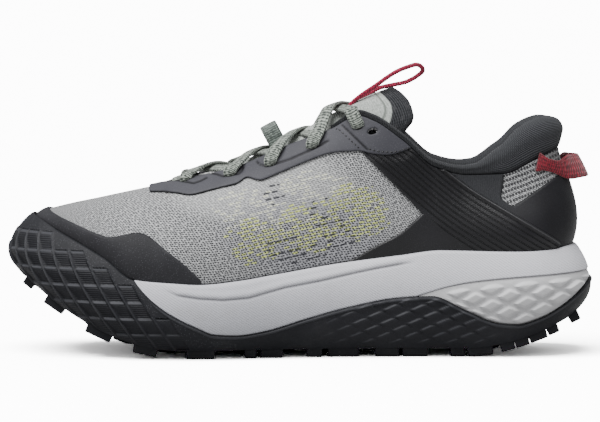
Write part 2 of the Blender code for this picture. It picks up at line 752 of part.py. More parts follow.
def collar_section(turn):
    """The padded roll's outline at one column: it sits on the upper's edge and hangs inside it."""
    along = along_of(turn)
    _, _, second, top = column_handles(turn)
    level = np.array([*outward(turn), 0.0])
    if along < UPPER["along"][12]:
        nearby = column_handles(turn + 0.004)[3] - column_handles(turn - 0.004)[3]
        flat = np.array([nearby[1], -nearby[0], 0.0])
        flat /= np.linalg.norm(flat)
        level = flat if flat @ level > 0 else -flat
    slope = (top - second) / np.linalg.norm(top - second)
    upright = collar["upright"](along)
    up = slope * (1 - upright) + np.array([0.0, 0.0, 1.0]) * upright
    up /= np.linalg.norm(up)
    out = level - up * (level @ up)
    out /= np.linalg.norm(out)
    height = COLLAR_HEIGHT * collar["height"](along)
    depth = COLLAR_DEPTH * collar["depth"](along)
    inside = UPPER_WALL / max(out @ upper_normal(turn, 1.0), 0.5) + 3 * GAP
    lining = inside + 0.0006 + 8 * depth**2 * (1 - upright)
    thickness = max(COLLAR_THICKNESS * collar["thickness"](along), (lining + 0.0014) / 0.72)
    seat = top + up * GAP
    points = [seat]
    for across, rise in COLLAR_SECTION:
        tall = height if rise > 0 else depth
        points.append(seat + out * across * thickness + up * rise * tall)
    points.append(seat - out * lining - up * depth)
    points.append(seat - out * inside)
    return points


def loft(name, sections, finish, smooth=True):
    """A closed solid through a row of equal sections, with both end faces filled."""
    bm = bmesh.new()
    rows = [[bm.verts.new(p) for p in section] for section in sections]
    count = len(rows[0])
    for here, after in zip(rows, rows[1:]):
        for k in range(count):
            j = (k + 1) % count
            bm.faces.new((here[k], here[j], after[j], after[k]))
    bm.faces.new(rows[0])
    bm.faces.new(rows[-1][::-1])
    bmesh.ops.recalc_face_normals(bm, faces=bm.faces)
    return as_object(name, bm, finish, smooth)


def make_collar(finish):
    """Its sections stand at the upper's own columns, so both keep the same distance everywhere."""
    stations = turns(STATIONS)
    columns = float(np.interp(turn_of(COLLAR_FRONT, -1), stations[:STATIONS], range(STATIONS)))
    reach = math.floor(columns)

    def section(i):
        return collar_section(stations[i])

    def front(side):
        last, beyond = section(side * reach), section(side * (reach + 1))
        share = columns - reach
        return [a * (1 - share) + b * share for a, b in zip(last, beyond)]

    sections = [front(1), *[section(i) for i in range(reach, -reach - 1, -1)], front(-1)]
    return loft("collar", sections, finish)


def tongue_frame(along):
    """Top centre of the tongue, and the directions along it and up from it, in the side view."""
    step = 0.006

    def centre(a):
        at = min(max(a, TONGUE["along"][-1]), TONGUE["along"][0])
        return np.array([x_of(at), 0.0, INSTEP_HEIGHT * tongue["height"](at)])

    run = centre(along - step) - centre(along + step)
    run /= np.linalg.norm(run)
    up = np.array([-run[2], 0.0, run[0]])
    middle = centre(along)
    middle[1] = ridge_y(along)
    return middle, run, up


def tongue_point(along, across, depth):
    """across runs from -1 to 1 over the tongue's width, depth from 0 at its face to 1 at its back."""
    middle, _, up = tongue_frame(along)
    half = BALL_WIDTH * tongue["half"](along)
    thick = TONGUE_THICKNESS * tongue["thickness"](along)
    sag = BALL_WIDTH * tongue["sag"](along)
    side = np.array([0.0, 1.0, 0.0])
    normal = up + side * (2 * sag * across / half)
    normal /= np.linalg.norm(normal)
    return middle + side * across * half - up * sag * across * across - normal * depth * thick


def make_tongue(finish):
    places = np.interp(np.linspace(0, 1, 17), np.linspace(0, 1, len(TONGUE["along"])), TONGUE["along"])
    across = np.linspace(-1, 1, 7)
    sections = []
    for along in places:
        edge = 0.35
        face = [tongue_point(along, a, edge if abs(a) == 1 else 0.0) for a in across]
        back = [tongue_point(along, a, 1 - edge if abs(a) == 1 else 1.0) for a in across[::-1]]
        sections.append(face + back)
    return loft("tongue", sections, finish)


def smooth_path(points, steps):
    """A smooth curve through points picked by hand, at even shares of their count."""
    table = {"along": tuple(range(len(points)))}
    for axis, label in enumerate("xyz"):
        table[label] = tuple(p[axis] for p in points)
    read = curves(table)
    places = np.linspace(0, len(points) - 1, steps)
    return [np.array([read[label](a) for label in "xyz"]) for a in places]


def ribbon(path, width, thickness, across_of):
    """Sections of a flat ribbon along a path; across_of gives its width direction at each point."""
    sections = []
    for i, point in enumerate(path):
        run = path[min(i + 1, len(path) - 1)] - path[max(i - 1, 0)]
        run = run / np.linalg.norm(run)
        across = across_of(i, point)
        across = across - run * (across @ run)
        across /= np.linalg.norm(across)
        lift = np.cross(run, across)
        w, t = across * width / 2, lift * thickness / 2
        cut = 0.7
        sections.append([
            point - w * cut - t, point + w * cut - t, point + w, point + w * cut + t, point - w * cut + t,
            point - w,
        ])
    return sections


LACE_CLEARANCE = 0.0010
LACE_CROWN = 0.0024
LACE_TUCK = 0.0045
LACE_BAR = 0.698
TOP_ARCH = 0.0016


def lace_end(along, side, over, toward):
    """One end of a lace strand: out of an eyelet and over the edge, or tucked inside the throat's edge."""
    turn = turn_of(along, side)
    top, normal = upper_point(turn, 1.0), upper_normal(turn, 0.97)
    inward = toward / np.linalg.norm(toward)
    rise = np.array([0.0, 0.0, 1.0])
    if not over:
        return [top + inward * LACE_TUCK + rise * 0.0004]
    lift = GAP + PANEL_THICKNESS + LACE_CLEARANCE + LACE_THICKNESS / 2
    seat, _ = eyelet_seat(along, side, lift)
    if along < COLLAR_FRONT:
        section = collar_section(turn)
        out = -inward
        crest = [section[2] + (out + rise) * (lift - GAP) * 0.75, section[4] + rise * (lift - GAP)]
    else:
        crest = [top + normal * lift]
    return [seat, *crest]


def make_lace_strand(name, finish, low, high, over_low, over_high, hump):
    """A strand that leaves one eyelet and crosses the tongue to the next pair's other side."""
    reach = upper_point(turn_of(*high), 1.0) - upper_point(turn_of(*low), 1.0)
    start = lace_end(*low, over_low, reach)
    end = lace_end(*high, over_high, -reach)
    rise = np.array([0.0, 0.0, 1.0])
    span = end[-1] - start[-1]
    middle = [start[-1] + span * t + rise * (LACE_CROWN * c + hump) for t, c in ((0.25, 0.8), (0.5, 1), (0.75, 0.8))]
    path = smooth_path([*start, *middle, *end[::-1]], 9)
    along_shoe = np.array([1.0, 0.0, 0.35])
    return loft(name, ribbon(path, LACE_WIDTH, LACE_THICKNESS, lambda i, p: along_shoe), finish)


def make_laces(finish):
    """A straight bar at the throat's front, then a joined crossing between each pair and the next."""
    make_lace_strand("lace_bar", finish, (LACE_BAR, -1), (LACE_BAR, 1), False, False, 0.0)
    for i, (low, high) in enumerate(zip(EYELETS, EYELETS[1:])):
        last = i == len(EYELETS) - 2
        arch = TOP_ARCH if last else 0.0
        over = make_lace_strand(f"lace_cross_{i + 1}", finish, (low, -1), (high, 1), True, last, arch + 0.0006)
        under = make_lace_strand(f"lace_under_{i + 1}", finish, (low, 1), (high, -1), True, last, arch - 0.0003)
        under.hide_render = True
        under.display_type = "WIRE"
        boolean(over, "UNION", under)


def make_tongue_loop(finish):
    """Round red cord: both strands start on the tongue's face and open into a loop above its top."""
    top, _, up = tongue_frame(0.405)
    side = np.array([0.0, 1.0, 0.0])
    run = np.array([1.0, 0.0, 0.0])
    rise = np.array([0.0, 0.0, 1.0])
    clear = LOOP_CORD / 2 + GAP
    seat = top + up * (clear - 0.0011)
    points = [
        seat - side * 0.0045,
        seat + run * 0.012 + rise * 0.0095 - side * 0.0042,
        seat + run * 0.021 + rise * 0.0150 - side * 0.0060,
        seat + run * 0.031 + rise * 0.0180 - side * 0.0075,
        seat + run * 0.0385 + rise * 0.0215 - side * 0.0040,
        seat + run * 0.0400 + rise * 0.0245 + side * 0.0005,
        seat + run * 0.0365 + rise * 0.0262 + side * 0.0045,
        seat + run * 0.027 + rise * 0.0225 + side * 0.0070,
        seat + run * 0.014 + rise * 0.0135 + side * 0.0045,
        seat + side * 0.0045,
    ]
    path = smooth_path(points, 26)
    sections = []
    before = None
    for i, point in enumerate(path):
        ahead = path[min(i + 1, len(path) - 1)] - path[max(i - 1, 0)]
        ahead /= np.linalg.norm(ahead)
        across = np.cross(ahead, rise) if before is None else before - ahead * (before @ ahead)
        across /= np.linalg.norm(across)
        before = across
        lift = np.cross(ahead, across)
        ring = [
            point + (across * math.cos(a) + lift * math.sin(a)) * LOOP_CORD / 2
            for a in (k * math.pi / 3 for k in range(6))
        ]
        sections.append(ring)
    return loft("tongue_loop", sections, finish)


def make_lace_keeper(finish):
    """A webbing bridge that stands on the tongue between two lace crossings."""
    top, run, up = tongue_frame(0.528)
    side = np.array([0.0, 1.0, 0.0])
    base = GAP - 0.0002
    shape = ((-0.0048, base), (-0.0047, 0.0080), (-0.0036, 0.0150), (0.0, 0.0170), (0.0036, 0.0150),
             (0.0047, 0.0080), (0.0048, base))
    points = [top + side * y + up * z for y, z in shape]
    path = smooth_path(points, 12)
    return loft("lace_keeper", ribbon(path, KEEPER_WIDTH, KEEPER_THICKNESS, lambda i, p: run), finish)


def make_heel_tab(finish):
    """Webbing round the back of the heel that stands off it as a pull loop."""
    places = ((0.060, 0.900), (0.044, 0.885), (0.030, 0.860))
    near = []
    for (along, share), clear in zip(places, TAB_CLEARANCE):
        turn = turn_of(along, -1)
        stand = TAB_THICKNESS / 2 + GAP + clear
        near.append(upper_point(turn, share) + upper_normal(turn, share) * stand)
    back = np.array([x_of(0.008), ridge_y(0.06), INSTEP_HEIGHT * 0.765])
    loop_side = np.array([x_of(0.022), back[1] - 0.0135, back[2] + 0.0005])
    lateral = [*near, loop_side]
    mirror = [np.array([p[0], 2 * back[1] - p[1], p[2]]) for p in lateral]
    path = smooth_path([*lateral, back, *mirror[::-1]], 19)
    start = turn_of(places[0][0], -1)
    hugging = upper_point(start, 0.98) - upper_point(start, 0.80)
    hugging = np.array([hugging[0], 0.0, hugging[2]])
    hugging /= np.linalg.norm(hugging)
    standing = np.array([0.28, 0.0, 0.96])

    def across(i, point):
        share = min(max((x_of(0.030) - point[0]) / 0.012, 0.0), 1.0)
        lean = 0.35 if point[1] < back[1] else -0.35
        return hugging * share + standing * (1 - share) + np.array([0.0, lean * share, 0.0])

    return loft("heel_tab", ribbon(path, TAB_WIDTH, TAB_THICKNESS, across), finish)


def main():
    remove_start_objects()
    rubber = material("charcoal_rubber", (0.028, 0.030, 0.034), 0.62)
    foam = material("pale_grey_foam", (0.52, 0.52, 0.55), 0.70)
    carrier = material("warm_grey_foam", (0.47, 0.48, 0.48), 0.65)
    knit = material("grey_mesh", (0.32, 0.33, 0.33), 0.90)
    film = material("graphite_film", (0.045, 0.045, 0.050), 0.50)
    grey_film = material("slate_film", (0.085, 0.085, 0.095), 0.48)
    lining = material("charcoal_knit", (0.035, 0.036, 0.039), 0.92)
    lace = material("heather_lace", (0.27, 0.29, 0.27), 0.90)
    webbing = material("sage_webbing", (0.14, 0.17, 0.15), 0.90)
    red = material("crimson_webbing", (0.22, 0.010, 0.022), 0.75)
    sock = material("insole_cloth", (0.05, 0.05, 0.055), 0.90)

    make_outsole(rubber)
    make_midsole(foam, carrier)
    make_insole(sock)
    punches = helper("eyelet_punches", eyelet_punches())
    make_upper(knit, punches)
    make_panel("toe_cap", film, TOE_CAP_OUTLINE, unit=WALL_TOP)
    make_panel("eyestay", grey_film, EYESTAY_OUTLINE, punches=punches)
    for name, side in (("lateral", -1), ("medial", 1)):
        make_panel(f"strap_{name}", film, STRAP_OUTLINE, STRAP_THICKNESS, side)
        make_panel(f"underlay_{name}", film, UNDERLAY_OUTLINE, side=side)
    make_panel("heel_counter", film, COUNTER_OUTLINE)
    make_collar(lining)
    make_tongue(lining)
    make_laces(lace)
    make_tongue_loop(red)
    make_lace_keeper(webbing)
    make_heel_tab(red)


main()
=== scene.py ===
# %% [markdown]
# # A trail running shoe
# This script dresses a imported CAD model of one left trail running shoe. The CAD solids give every piece its
# place and size. Here each piece is made again with smooth, close-set faces and a finish that follows the
# real materials: moulded rubber, foam, knitted mesh, welded film, padded lining, woven lace and webbing.
# The toe points along -X, the outer side faces -Y and the tread stands on z = 0. All sizes are in metres.

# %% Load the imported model
import math
from functools import reduce

import bmesh
import bpy
import numpy as np
from mathutils import Matrix, Vector


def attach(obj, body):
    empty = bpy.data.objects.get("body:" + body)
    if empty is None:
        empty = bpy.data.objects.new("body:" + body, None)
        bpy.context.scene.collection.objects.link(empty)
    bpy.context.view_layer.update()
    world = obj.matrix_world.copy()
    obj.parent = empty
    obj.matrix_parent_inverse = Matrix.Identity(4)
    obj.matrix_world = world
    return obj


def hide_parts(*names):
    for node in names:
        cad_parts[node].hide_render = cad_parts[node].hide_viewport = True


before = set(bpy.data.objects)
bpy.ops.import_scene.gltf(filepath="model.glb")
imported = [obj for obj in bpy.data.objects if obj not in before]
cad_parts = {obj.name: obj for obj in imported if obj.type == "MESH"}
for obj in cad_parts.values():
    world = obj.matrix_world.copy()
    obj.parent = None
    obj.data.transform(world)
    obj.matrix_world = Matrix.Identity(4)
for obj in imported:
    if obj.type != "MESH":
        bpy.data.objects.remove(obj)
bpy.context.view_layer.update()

# %% [markdown]
# ## The last
# A shoe is built round a last, and so is this script. A few tables describe it: the sole's outline in plan,
# the side wall that stands on that outline, and the curves that rise from the wall to the collar. A place
# along the shoe is a share of its length from the heel, and a "turn" walks once round the outline: 0 is the
# heel, 0.5 the toe, and the outer side comes first. Drawing every piece from the same few curves keeps the
# pieces in touch with each other, which separate sculpting would not.

# %% Sizes of the last
LENGTH = 0.300
BALL_WIDTH = 0.112
WALL_TOP = 0.055
TOE_SPRING = 0.037
HEEL_BEVEL = 0.018
INSTEP_HEIGHT = 0.125
HEEL_ROUND = 0.042
TOE_ROUND = 0.070
SPRING_START = 0.700
BEVEL_START = 0.217
LUG_HEIGHT = 0.0045
RUBBER_BASE = 0.003
RUBBER_WALL = 0.0022
BOTTOM_TUCK = 0.007
LIP_INSET = 0.0075
FOAM_LIP = 0.003
FOOT_LEAN = 0.0015
WIDEST = 0.42
GAP = 0.0003
TIP_SHARE = 0.977
HEEL_SHARE = 0.023
TURN_STEP = 0.004
TOE_WRAP = 0.780
VIEW_TILT = math.radians(4)
UPPER_WALL = 0.0022
PANEL_THICKNESS = 0.0009
STRAP_THICKNESS = 0.0013
RIDGE_START = 0.737
EYELET_RADIUS = 0.0023
EYELETS = (0.692, 0.618, 0.548, 0.478, 0.408)
SPARE_EYELET = 0.372
UP = np.array([0.0, 0.0, 1.0])
SIDE = np.array([0.0, 1.0, 0.0])

PLAN = {
    "along": (0.00, 0.14, 0.27, 0.40, 0.53, 0.63, 0.72, 0.78, 0.87, 1.00),
    "centre": (0.000, 0.000, -0.004, -0.027, -0.036, -0.027, -0.004, 0.013, 0.036, 0.062),
    "half": (0.384, 0.384, 0.353, 0.339, 0.380, 0.455, 0.496, 0.500, 0.473, 0.430),
}
WALL = {
    "along": (0.00, 0.03, 0.07, 0.13, 0.26, 0.33, 0.44, 0.54, 0.60, 0.67, 0.71, 0.78, 0.83, 0.90, 0.96, 1.00),
    "top": (1.02, 1.02, 0.99, 0.980, 0.99, 0.945, 0.867, 0.776, 0.724, 0.691, 0.703, 0.735, 0.92, 1.12,
            1.25, 1.275),
    "lean": (1.00, 1.00, 0.90, 0.75, 0.60, 0.60, 0.60, 0.60, 0.60, 0.60, 0.60, 0.70, 0.90, 1.25, 1.55, 1.60),
}
RUBBER_EDGE = {
    "along": (-0.02, 0.00, 0.054, 0.098, 0.131, 0.161, 0.219, 0.278, 0.328, 0.417, 0.489, 0.562, 0.605,
              0.645, 0.672, 0.709, 0.742, 0.780, 0.795),
    "top": (0.86, 0.72, 0.478, 0.358, 0.311, 0.322, 0.442, 0.573, 0.560, 0.473, 0.369, 0.256, 0.2255,
            0.238, 0.298, 0.3945, 0.513, 0.735, 0.90),
}
CARRIER_EDGE = {
    "along": (-0.02, 0.00, 0.065, 0.13, 0.197, 0.24, 0.275, 0.300),
    "top": (0.80, 0.795, 0.776, 0.753, 0.716, 0.675, 0.620, 0.574),
}
FOOTBED = {
    "along": (0.00, 0.25, 0.50, 0.70, 0.85, 0.96, 1.00),
    "height": (0.62, 0.60, 0.51, 0.42, 0.35, 0.24, 0.22),
}
UPPER = {
    "along": (0.000, 0.070, 0.140, 0.210, 0.270, 0.330, 0.380, 0.410, 0.460, 0.540, 0.610, 0.680, 0.720,
              0.737, 0.800, 0.870, 0.930, 1.000),
    "top_along": (0.057, 0.100, 0.155, 0.215, 0.270, 0.325, 0.375, 0.400, 0.445, 0.530, 0.605, 0.675, 0.715,
                  0.733, 0.790, 0.840, 0.875, 0.900),
    "height": (0.843, 0.798, 0.742, 0.738, 0.768, 0.877, 0.958, 0.977, 0.924, 0.845, 0.766, 0.722, 0.702,
               0.692, 0.662, 0.632, 0.611, 0.594),
    "half": (0.205, 0.215, 0.235, 0.250, 0.255, 0.245, 0.225, 0.212, 0.198, 0.178, 0.160, 0.132, 0.090,
             0.000, 0.000, 0.000, 0.000, 0.000),
    "rise": (0.36, 0.36, 0.36, 0.36, 0.36, 0.36, 0.38, 0.38, 0.40, 0.42, 0.46, 0.50, 0.51,
             0.52, 0.54, 0.55, 0.55, 0.55),
    "swell": (0.060, 0.055, 0.050, 0.045, 0.045, 0.045, 0.045, 0.045, 0.045, 0.042, 0.040, 0.040, 0.040,
              0.040, 0.038, 0.034, 0.025, 0.005),
    "roll": (0.040, 0.030, 0.020, 0.020, 0.025, 0.040, 0.065, 0.075, 0.095, 0.120, 0.150, 0.190, 0.220,
             0.240, 0.240, 0.220, 0.170, 0.070),
    "drop": (0.40, 0.38, 0.38, 0.36, 0.34, 0.30, 0.26, 0.24, 0.20, 0.15, 0.12, 0.09, 0.05,
             0.03, 0.02, 0.01, 0.00, 0.00),
}
COLLAR_THICKNESS = 0.0125
COLLAR_HEIGHT = 0.0175
COLLAR_DEPTH = 0.024
COLLAR_FRONT = 0.462
COLLAR = {
    "along": (0.000, 0.050, 0.100, 0.150, 0.200, 0.270, 0.330, 0.400, 0.440, 0.470),
    "height": (0.88, 1.10, 1.16, 0.76, 0.32, 0.24, 0.24, 0.22, 0.20, 0.10),
    "thickness": (1.00, 1.00, 0.90, 0.75, 0.62, 0.55, 0.48, 0.40, 0.32, 0.24),
    "depth": (1.00, 1.00, 1.00, 0.95, 0.85, 0.70, 0.50, 0.36, 0.26, 0.16),
    "upright": (1.00, 1.00, 1.00, 1.00, 0.90, 0.70, 0.40, 0.15, 0.00, 0.00),
}
COLLAR_SECTION = (
    (0.16, 0.38), (0.20, 0.66), (0.00, 0.92), (-0.38, 1.00), (-0.68, 0.90), (-0.92, 0.60), (-1.00, 0.10),
    (-0.96, -0.35), (-0.72, -0.75),
)
TONGUE_THICKNESS = 0.0105
TONGUE = {
    "along": (0.738, 0.675, 0.605, 0.530, 0.445, 0.400, 0.372, 0.352, 0.342, 0.338),
    "height": (0.668, 0.714, 0.778, 0.866, 0.982, 1.036, 1.066, 1.083, 1.090, 1.092),
    "half": (0.110, 0.165, 0.190, 0.200, 0.185, 0.168, 0.162, 0.160, 0.156, 0.150),
    "sag": (0.046, 0.082, 0.110, 0.130, 0.178, 0.200, 0.207, 0.208, 0.205, 0.198),
    "thickness": (0.24, 0.26, 0.28, 0.32, 0.42, 0.55, 0.68, 0.75, 0.66, 0.34),
}

# %% [markdown]
# A smooth curve goes through the rows of each table. It is a monotone cubic, which never swings past its
# points, so a wall that should stay level between two rows does.


# %% Curves through the tables
def unit(rows):
    return rows / np.linalg.norm(rows, axis=1)[:, None]


def pointing(rows, way):
    """The same directions, turned round where they point against a given way."""
    return rows * np.where(np.sum(rows * way, axis=1) > 0, 1.0, -1.0)[:, None]


def walked(points, power=1.0):
    """Length walked along a line up to each of its points."""
    return np.concatenate(([0.0], np.cumsum(np.linalg.norm(np.diff(points, axis=0), axis=1) ** power)))


def hermite(start, leaving, end, arriving, t):
    return (start * (2 * t**3 - 3 * t**2 + 1) + leaving * (t**3 - 2 * t**2 + t)
            + end * (3 * t**2 - 2 * t**3) + arriving * (t**3 - t**2))


def smooth_curve(places, values):
    order = np.argsort(places)
    place = np.array(places, float)[order]
    value = np.array(values, float)[order]
    step = np.diff(place)
    slope = np.diff(value) / step
    tangent = np.concatenate((slope[:1], np.zeros(len(place) - 2), slope[-1:]))
    same = slope[:-1] * slope[1:] > 0
    before, after = 2 * step[1:] + step[:-1], step[1:] + 2 * step[:-1]
    safe_low, safe_high = np.where(same, slope[:-1], 1.0), np.where(same, slope[1:], 1.0)
    tangent[1:-1] = np.where(same, (before + after) / (before / safe_low + after / safe_high), 0.0)

    def read(at):
        at = np.clip(at, place[0], place[-1])
        i = np.clip(np.searchsorted(place, at) - 1, 0, len(step) - 1)
        t = (at - place[i]) / step[i]
        return (value[i] * (1 + 2 * t) * (1 - t) ** 2 + tangent[i] * step[i] * t * (1 - t) ** 2
                + value[i + 1] * t * t * (3 - 2 * t) + tangent[i + 1] * step[i] * t * t * (t - 1))

    return read


def curves(table):
    return {column: smooth_curve(table["along"], table[column]) for column in table if column != "along"}


plan, wall, rubber_edge, carrier_edge = curves(PLAN), curves(WALL), curves(RUBBER_EDGE), curves(CARRIER_EDGE)
footbed, upper, collar, tongue = curves(FOOTBED), curves(UPPER), curves(COLLAR), curves(TONGUE)


# %% Outline of the sole
def x_of(along):
    return LENGTH * (0.5 - along)


def place_of(x):
    return 0.5 - x / LENGTH


def end_rounding(along):
    heel = np.clip(1 - along * LENGTH / HEEL_ROUND, 0, 1)
    toe = np.clip(1 - (1 - along) * LENGTH / TOE_ROUND, 0, 1)
    return (1 - heel**2.3) ** (1 / 2.3) * (1 - toe**2.2) ** (1 / 2.2)


def half_width(along):
    return BALL_WIDTH * plan["half"](along) * end_rounding(along)


ALL_PLACES = np.linspace(0, 1, 201)
INNER = np.max(BALL_WIDTH * plan["centre"](ALL_PLACES) + half_width(ALL_PLACES))
OUTER = np.min(BALL_WIDTH * plan["centre"](ALL_PLACES) - half_width(ALL_PLACES))
SIDE_SHIFT = -(INNER + OUTER) / 2


def centre_y(along):
    return BALL_WIDTH * plan["centre"](along) + SIDE_SHIFT


PLACES = 0.5 - 0.5 * np.cos(np.linspace(0, math.pi, 1201))
STEPS = np.hypot(np.diff(PLACES) * LENGTH, np.diff(half_width(PLACES)))
WALKED = np.concatenate(([0.0], np.cumsum(STEPS)))
PERIMETER = 2 * WALKED[-1]
WALKED = WALKED / WALKED[-1]
print("once round the sole:", round(PERIMETER, 4), "m")


def along_of(turn):
    turn = np.mod(turn, 1.0)
    return np.interp(2 * np.minimum(turn, 1 - turn), WALKED, PLACES)


def turn_of(along, side):
    share = np.interp(along, PLACES, WALKED) / 2
    return share if side < 0 else 1 - share


def side_of(turn):
    return np.where(np.mod(turn, 1.0) <= 0.5, -1.0, 1.0)


def outline(turn):
    along = along_of(turn)
    return np.column_stack((x_of(along), centre_y(along) + side_of(turn) * half_width(along)))


def outward(turn):
    run = unit(outline(turn + TURN_STEP) - outline(turn - TURN_STEP))
    middle = np.column_stack((x_of(along_of(turn)) * 0.5, np.zeros(len(run))))
    return pointing(np.column_stack((run[:, 1], -run[:, 0])), outline(turn) - middle)


# %% Side wall of the sole
def toe_rise(along):
    return TOE_SPRING * np.maximum(0.0, (along - SPRING_START) / (TIP_SHARE - SPRING_START)) ** 1.9


def spring(along):
    heel = np.maximum(0.0, (BEVEL_START - along) / (BEVEL_START - HEEL_SHARE))
    return toe_rise(along) + HEEL_BEVEL * heel**1.7


def sole_bottom(along):
    return spring(along) + LUG_HEIGHT


def wall_top(along):
    return WALL_TOP * wall["top"](along)


def footbed_height(along):
    return WALL_TOP * footbed["height"](along) + toe_rise(along)


def wall_inset(along, share):
    low = BOTTOM_TUCK * np.clip(1 - share / WIDEST, 0, 1) ** 2.2
    high = LIP_INSET * wall["lean"](along) * (np.clip(share - WIDEST, 0, 0.9) / (1 - WIDEST)) ** 2
    return np.where(share < WIDEST, low, high)


def cover(along):
    blend = np.clip((along - 0.75) / 0.05, 0.0, 1.0)
    return (1 - blend) * (FOAM_LIP + GAP) + blend * (RUBBER_WALL + GAP)


def inset_outline(turn, inset):
    return outline(turn) - outward(turn) * np.broadcast_to(inset, np.shape(turn))[:, None]


def wall_ends(turn, inset=0.0):
    along = along_of(turn)
    foot = inset_outline(turn, wall_inset(along, 0.0) + inset)
    lip = inset_outline(turn, wall_inset(along, 1.0))
    return sole_bottom(place_of(foot[:, 0])), wall_top(place_of(lip[:, 0]))


def wall_point(turn, share, inset=0.0):
    along = along_of(turn)
    flat = inset_outline(turn, wall_inset(along, share) + inset)
    low, high = wall_ends(turn, inset)
    return np.column_stack((flat, low + share * (high - low)))


def wall_share(turn, edge):
    """Share of the wall's height at which an edge drawn in the side view crosses it."""
    share = np.full(len(turn), 0.5)
    low, high = wall_ends(turn)
    for _ in range(8):
        x = inset_outline(turn, wall_inset(along_of(turn), share))[:, 0]
        share = np.clip((WALL_TOP * edge(place_of(x)) - low) / (high - low), 0.02, 1.0)
    return share


# %% Surface of the upper
def ridge_y(along):
    return centre_y(along) + 0.02 * BALL_WIDTH


def column_handles(turn):
    along = along_of(turn)
    normal = np.column_stack((outward(turn), np.zeros(len(turn))))
    flat = inset_outline(turn, wall_inset(along, 1.0) + cover(along))
    foot = np.column_stack((flat, wall_top(place_of(flat[:, 0]))))
    top_place = upper["top_along"](along)
    half = BALL_WIDTH * upper["half"](along) * end_rounding(along) * side_of(turn)
    half = np.where(along >= RIDGE_START, 0.0, half)
    top_height = INSTEP_HEIGHT * upper["height"](along)
    top = np.column_stack((x_of(top_place), ridge_y(top_place) + half, top_height))
    height = (top[:, 2] - foot[:, 2])[:, None]
    first = foot + UP * height * upper["rise"](along)[:, None]
    first = first + normal * BALL_WIDTH * upper["swell"](along)[:, None]
    second = top - UP * height * upper["drop"](along)[:, None]
    second = second + normal * BALL_WIDTH * upper["roll"](along)[:, None]
    return foot, first, second, top


def upper_point(turn, share):
    turn, share = np.broadcast_arrays(np.atleast_1d(turn), np.atleast_1d(share))
    a, b, c, d = column_handles(turn)
    t = share[:, None]
    return a * (1 - t) ** 3 + b * 3 * t * (1 - t) ** 2 + c * 3 * t * t * (1 - t) + d * t**3


def upper_normal(turn, share):
    turn, share = np.broadcast_arrays(np.atleast_1d(turn), np.atleast_1d(share))
    higher, lower = np.minimum(share + TURN_STEP, 1.0), np.maximum(share - TURN_STEP, 0.0)
    rise = upper_point(turn, higher) - upper_point(turn, lower)
    run = upper_point(turn + TURN_STEP, share) - upper_point(turn - TURN_STEP, share)
    normal = np.cross(rise, run)
    normal /= np.maximum(np.linalg.norm(normal, axis=1), 1e-12)[:, None]
    return pointing(normal, np.column_stack((outward(turn), np.full(len(turn), 0.6))))


# %% [markdown]
# ## Draping a grid
# Most pieces are one grid of faces laid on a surface of the last. A grid from an operator, moved point by
# point to its place, keeps even, four-sided faces, carries a UV map in real metres for weave and knit, and
# can be refined wherever relief is moulded in.


# %% Helpers for pieces
SHARP_ANGLE = math.radians(50)


def add_object(name, data):
    made = bpy.data.objects.new(name, data)
    bpy.context.scene.collection.objects.link(made)
    return made


def mesh_object(bm, name, finish):
    mesh = bpy.data.meshes.new(name)
    bm.to_mesh(mesh)
    bm.free()
    mesh.materials.append(finish)
    return mesh, add_object(name, mesh)


def finish_piece(bm, name, finish, replaced=(), slot=None):
    mesh, piece = mesh_object(bm, name, finish)
    mesh.shade_smooth()
    mesh.set_sharp_from_angle(angle=SHARP_ANGLE)
    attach(piece, "root")
    if replaced:
        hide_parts(*replaced)
    print(name, "faces:", len(mesh.polygons))
    return piece


def grid(columns, rows, span=(1.0, 1.0)):
    """A flat grid, its points as shares of its width and height, and a UV map of the given size."""
    bm = bmesh.new()
    uv = bm.loops.layers.uv.new("UVMap")
    bmesh.ops.create_grid(bm, x_segments=columns, y_segments=rows, size=0.5, calc_uvs=True)
    for face in bm.faces:
        for loop in face.loops:
            loop[uv].uv = (loop[uv].uv[0] * span[0], loop[uv].uv[1] * span[1])
    flat = np.array([v.co for v in bm.verts]) + 0.5
    return bm, flat[:, 0], flat[:, 1]


def place_points(bm, points):
    for vert, point in zip(bm.verts, points):
        vert.co = point


def close_up(bm, distance=2e-5, fill=False):
    bmesh.ops.remove_doubles(bm, verts=bm.verts, dist=distance)
    if fill:
        bmesh.ops.holes_fill(bm, edges=[e for e in bm.edges if e.is_boundary])
    bmesh.ops.recalc_face_normals(bm, faces=bm.faces)


def store(bm, label, values):
    """Keeps one number at every point, for a finish to read."""
    layer = bm.verts.layers.float.new(label)
    for vert, value in zip(bm.verts, values):
        vert[layer] = value
    return layer


def ramp(value, start, end):
    """0 before start, 1 after end and smooth between."""
    t = np.clip((value - start) / (end - start), 0.0, 1.0)
    return t * t * (3 - 2 * t)


def rail(rows, at):
    """Reads a list of rows at shares of its length, straight between them."""
    rows = np.array(rows, float)
    places = np.linspace(0, 1, len(rows))
    return [np.interp(at, places, rows[:, i]) for i in range(rows.shape[1])]


# %% [markdown]
# ## Finishes
# Every finish is made of nodes that work out a colour, a roughness and a height at each point. Patterns that
# follow a surface, such as knit and weave, read the piece's UV map, which is laid out in metres. Patterns
# that belong to a place on the shoe, such as the bright flecks on its side, read the object's own
# coordinates. Effects that several finishes share are node groups, built once.


